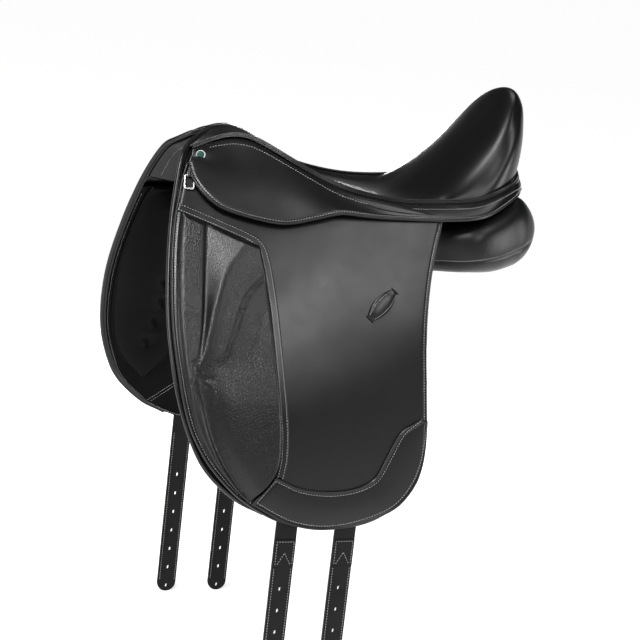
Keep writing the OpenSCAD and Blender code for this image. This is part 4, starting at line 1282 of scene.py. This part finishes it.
def lining():
    """Leather along the gullet that turns up under the cantle."""
    line = soften(resample(GULLET_LINE, 3.5), 3)
    half = 40 + 14 * smooth(-330, -395, line[:, 0])
    y = spread(14, 80, (0, 0.2, 0.6, 1.2)) * 2 - 1
    flat = np.ones_like(y)
    grid = np.stack([line[:, :1] * flat, half[:, None] * y, line[:, 1:] * flat], -1)
    part = leather_sheet(grid, 1.4, (0, 0, -1), edge_lip=False)[0]
    single("gullet_lining", part, lining_leather, slot="panel_leather")


# Tree and webbing under the seat, at depths below its leather
RAIL_V = -0.52


def tree_cantle():
    u, v = seat_grid((0.62, 0.96, 50), (-0.8, 0.8, 60))
    part = shell(seat_sunk(u, v, 15.5), seat_sunk(u, v, 24.0))
    single("cantle_board", part, tree_wood, nodes=["tree_cantle"], slot="tree_wood")


def tree_rail():
    u = np.linspace(0.17, 0.66, 90)
    path = seat_sunk(u, RAIL_V, 20.5)
    part = ribbon(path, unit(seat_skin(u, RAIL_V) - path), 26, 9)
    sided("side_rail_left", part, tree_wood, nodes=["tree_rail_left"], slot="tree_wood")


def seat_webbing():
    u, v = seat_grid((0.24, 0.56, 60), (-0.27, 0.27, 40))
    part = shell(seat_sunk(u, v, 16.1), seat_sunk(u, v, 18.1))
    single("seat_webbing_cloth", part, foam_cloth, nodes=["seat_webbing"], slot="webbing")


# Webs and girth straps
WEB_W = 24
WEB_T = 2.8
WEB_END = 436


def web_edge(x):
    """Path of one edge of a web, over the rails and down both sides."""
    under = seat_sunk(np.linspace(0.1, 0.6, 200), -0.55, 15.2)
    rail = under[np.argmin(np.abs(under[:, 0] - x))]
    drops = np.concatenate([[84], np.linspace(92, FLAP_END, 60), [WEB_END]])
    down = on_face(x, np.minimum(drops, FLAP_END), -STRAP_LAYER)
    down[:, 2] = -drops
    left = np.concatenate([[[x, rail[1] + 12, rail[2] - 2]], down])
    return resample(np.concatenate([left[::-1] * MIRROR, [[x, 0, rail[2]]], left]), 4.0)[:300]


def girth_web(name, x):
    edges = [web_edge(x + WEB_W / 2), web_edge(x - WEB_W / 2)]
    at = np.linspace(0, 1, min(len(edge) for edge in edges))
    edges = [soften(rows_at(at, np.linspace(0, 1, len(edge)), edge), 1.2)[:, None] for edge in edges]
    share = spread(8, WEB_W, (0, 0.1, 0.4, 0.9, 1.5))
    part = leather_sheet(lerp(*edges, share[None, :, None]), WEB_T, (0, 0, 1), edge_lip=False)[0]
    single(name + "_cloth", part, webbing, nodes=[name], slot="webbing")


# Girth strap: height of its top, sizes measured from there, holes and the seam along its edges
STRAP_TOP = -438.3
STRAP_HALF = 12.3
STRAP_TIP = -219
STRAP_SEAM = 10.4
HOLES = 7
HOLE_FIRST = -64
HOLE_STEP = 26.7
HOLE_R = 2.0
HOLE_LONG = 1.25


def strap_outline():
    """Flat strap with a round tip and oval holes, drawn as a filled curve and turned into a mesh."""
    data = bpy.data.curves.new("strap_work", "CURVE")
    data.dimensions = "2D"
    data.fill_mode = "BOTH"
    data.extrude = 1.3
    data.bevel_depth = 0.7
    data.bevel_resolution = 2
    turn = np.linspace(0, np.pi, 25)
    tip = [(STRAP_HALF * math.cos(a), STRAP_TIP - STRAP_HALF * math.sin(a)) for a in turn]
    side = np.linspace(-212, 20, 60)
    rings = [[(STRAP_HALF, z) for z in side[::-1]] + tip + [(-STRAP_HALF, z) for z in side]]
    for k in range(HOLES):
        z = HOLE_FIRST - HOLE_STEP * k
        rings.append([(HOLE_R * c, z + HOLE_LONG * np.sign(s) + HOLE_R * s) for c, s in zip(*circle(24))])
    for ring in rings:
        spline = data.splines.new("POLY")
        spline.points.add(len(ring) - 1)
        for point, (a, b) in zip(spline.points, ring):
            point.co = (a, b, 0, 1)
        spline.use_cyclic_u = True
    points, faces = take(add_object("strap_work", data))
    return points[:, [0, 2, 1]], faces


def girth_strap(end, x):
    base = np.array([x, float(flap_y(x, FLAP_END)) - STRAP_LAYER, STRAP_TOP])
    flat, faces = strap_outline()
    body = "strap_body_left_" + end
    bend = (body, base + np.array([0, 0, 5.0]), base - np.array([0, 0, 6.0]))
    name = "girth_strap_left_" + end
    sided(name + "_leather", weld(flat + base, faces), strap_leather, nodes=[name], bend=bend,
          slot="strap_leather")
    z = np.linspace(-3, -35, 40)
    path = np.stack([0 * z, 2.6 + 0 * z, z], 1) + base
    cover = ribbon(path, np.tile([0, 1.0, 0], (40, 1)), 25.4, 1.5)
    sided("strap_patch_left_" + end, cover, strap_leather, body, slot="strap_leather")
    rows = []
    for side in (-STRAP_SEAM, STRAP_SEAM):
        rows.append(flat_stitches([(side, 2.0, -38), (side, 2.0, -216)], base, 1.0))
        rows.append(flat_stitches([(side, -2.0, -4), (side, -2.0, -216)], base, -1.0))
    border = ((-STRAP_SEAM, -33), (-STRAP_SEAM, -5.5), (STRAP_SEAM, -5.5), (STRAP_SEAM, -33))
    for line in (border, ((-8, -33), (0, -19), (8, -33))):
        rows.append(flat_stitches([(a, 3.35, b) for a, b in line], base, 1.0))
    sided("strap_stitches_left_" + end, join(rows), grey_thread, body)


# Tab of the dee: place on the flap, and rings as height, half width and half thickness
DEE_AT = (38, 50)
TAB_RINGS = ((-2.5, 1.6, 0.5), (-2.3, 2.4, 1.3), (-1.4, 2.7, 2.1), (0, 2.7, 2.4), (1.6, 2.7, 2.2),
             (3, 2.7, 1.8), (6, 2.8, 1.7), (9, 2.8, 1.6), (10.6, 2.7, 1.4), (11, 2.2, 0.8))


def dee_tab():
    along, out, up = face_axes(*DEE_AT)
    base = on_face(*DEE_AT) + out * 2.5
    c, s = [np.sign(k) * np.abs(k) ** 0.6 for k in circle(24)]
    rings = [base + up * z + along * (w * c)[:, None] + out * (t * s)[:, None] for z, w, t in TAB_RINGS]
    sided("dee_tab_left_leather", capped(rings), smooth_leather, nodes=["dee_tab_left"],
          slot="smooth_leather")


seat()
welt()
skirt()
flap()
knee_pad()
band()
patch()
keeper()
rim_piping()
sweat_flap()
front_pad()
panel()
facing()
lining()
tree_cantle()
tree_rail()
seat_webbing()
girth_web("girth_web_front", STRAP_X[0])
girth_web("girth_web_rear", STRAP_X[1])
girth_strap("front", STRAP_X[0])
girth_strap("rear", STRAP_X[1])
dee_tab()

# Finish of the CAD nodes that stay
KEPT = {
    "tree_head": tree_wood,
    "gullet_plate": dark_steel,
    "tree_rivets": steel,
    "stirrup_bar_left": steel,
    "stirrup_bar_right": steel,
    "bar_catch_left": steel,
    "bar_catch_right": steel,
    "catch_pin_left": steel,
    "catch_pin_right": steel,
    "dee_left": chrome,
    "dee_right": chrome,
}
for node, finish in KEPT.items():
    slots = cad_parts[node].data.materials
    slots.clear()
    slots.append(finish)
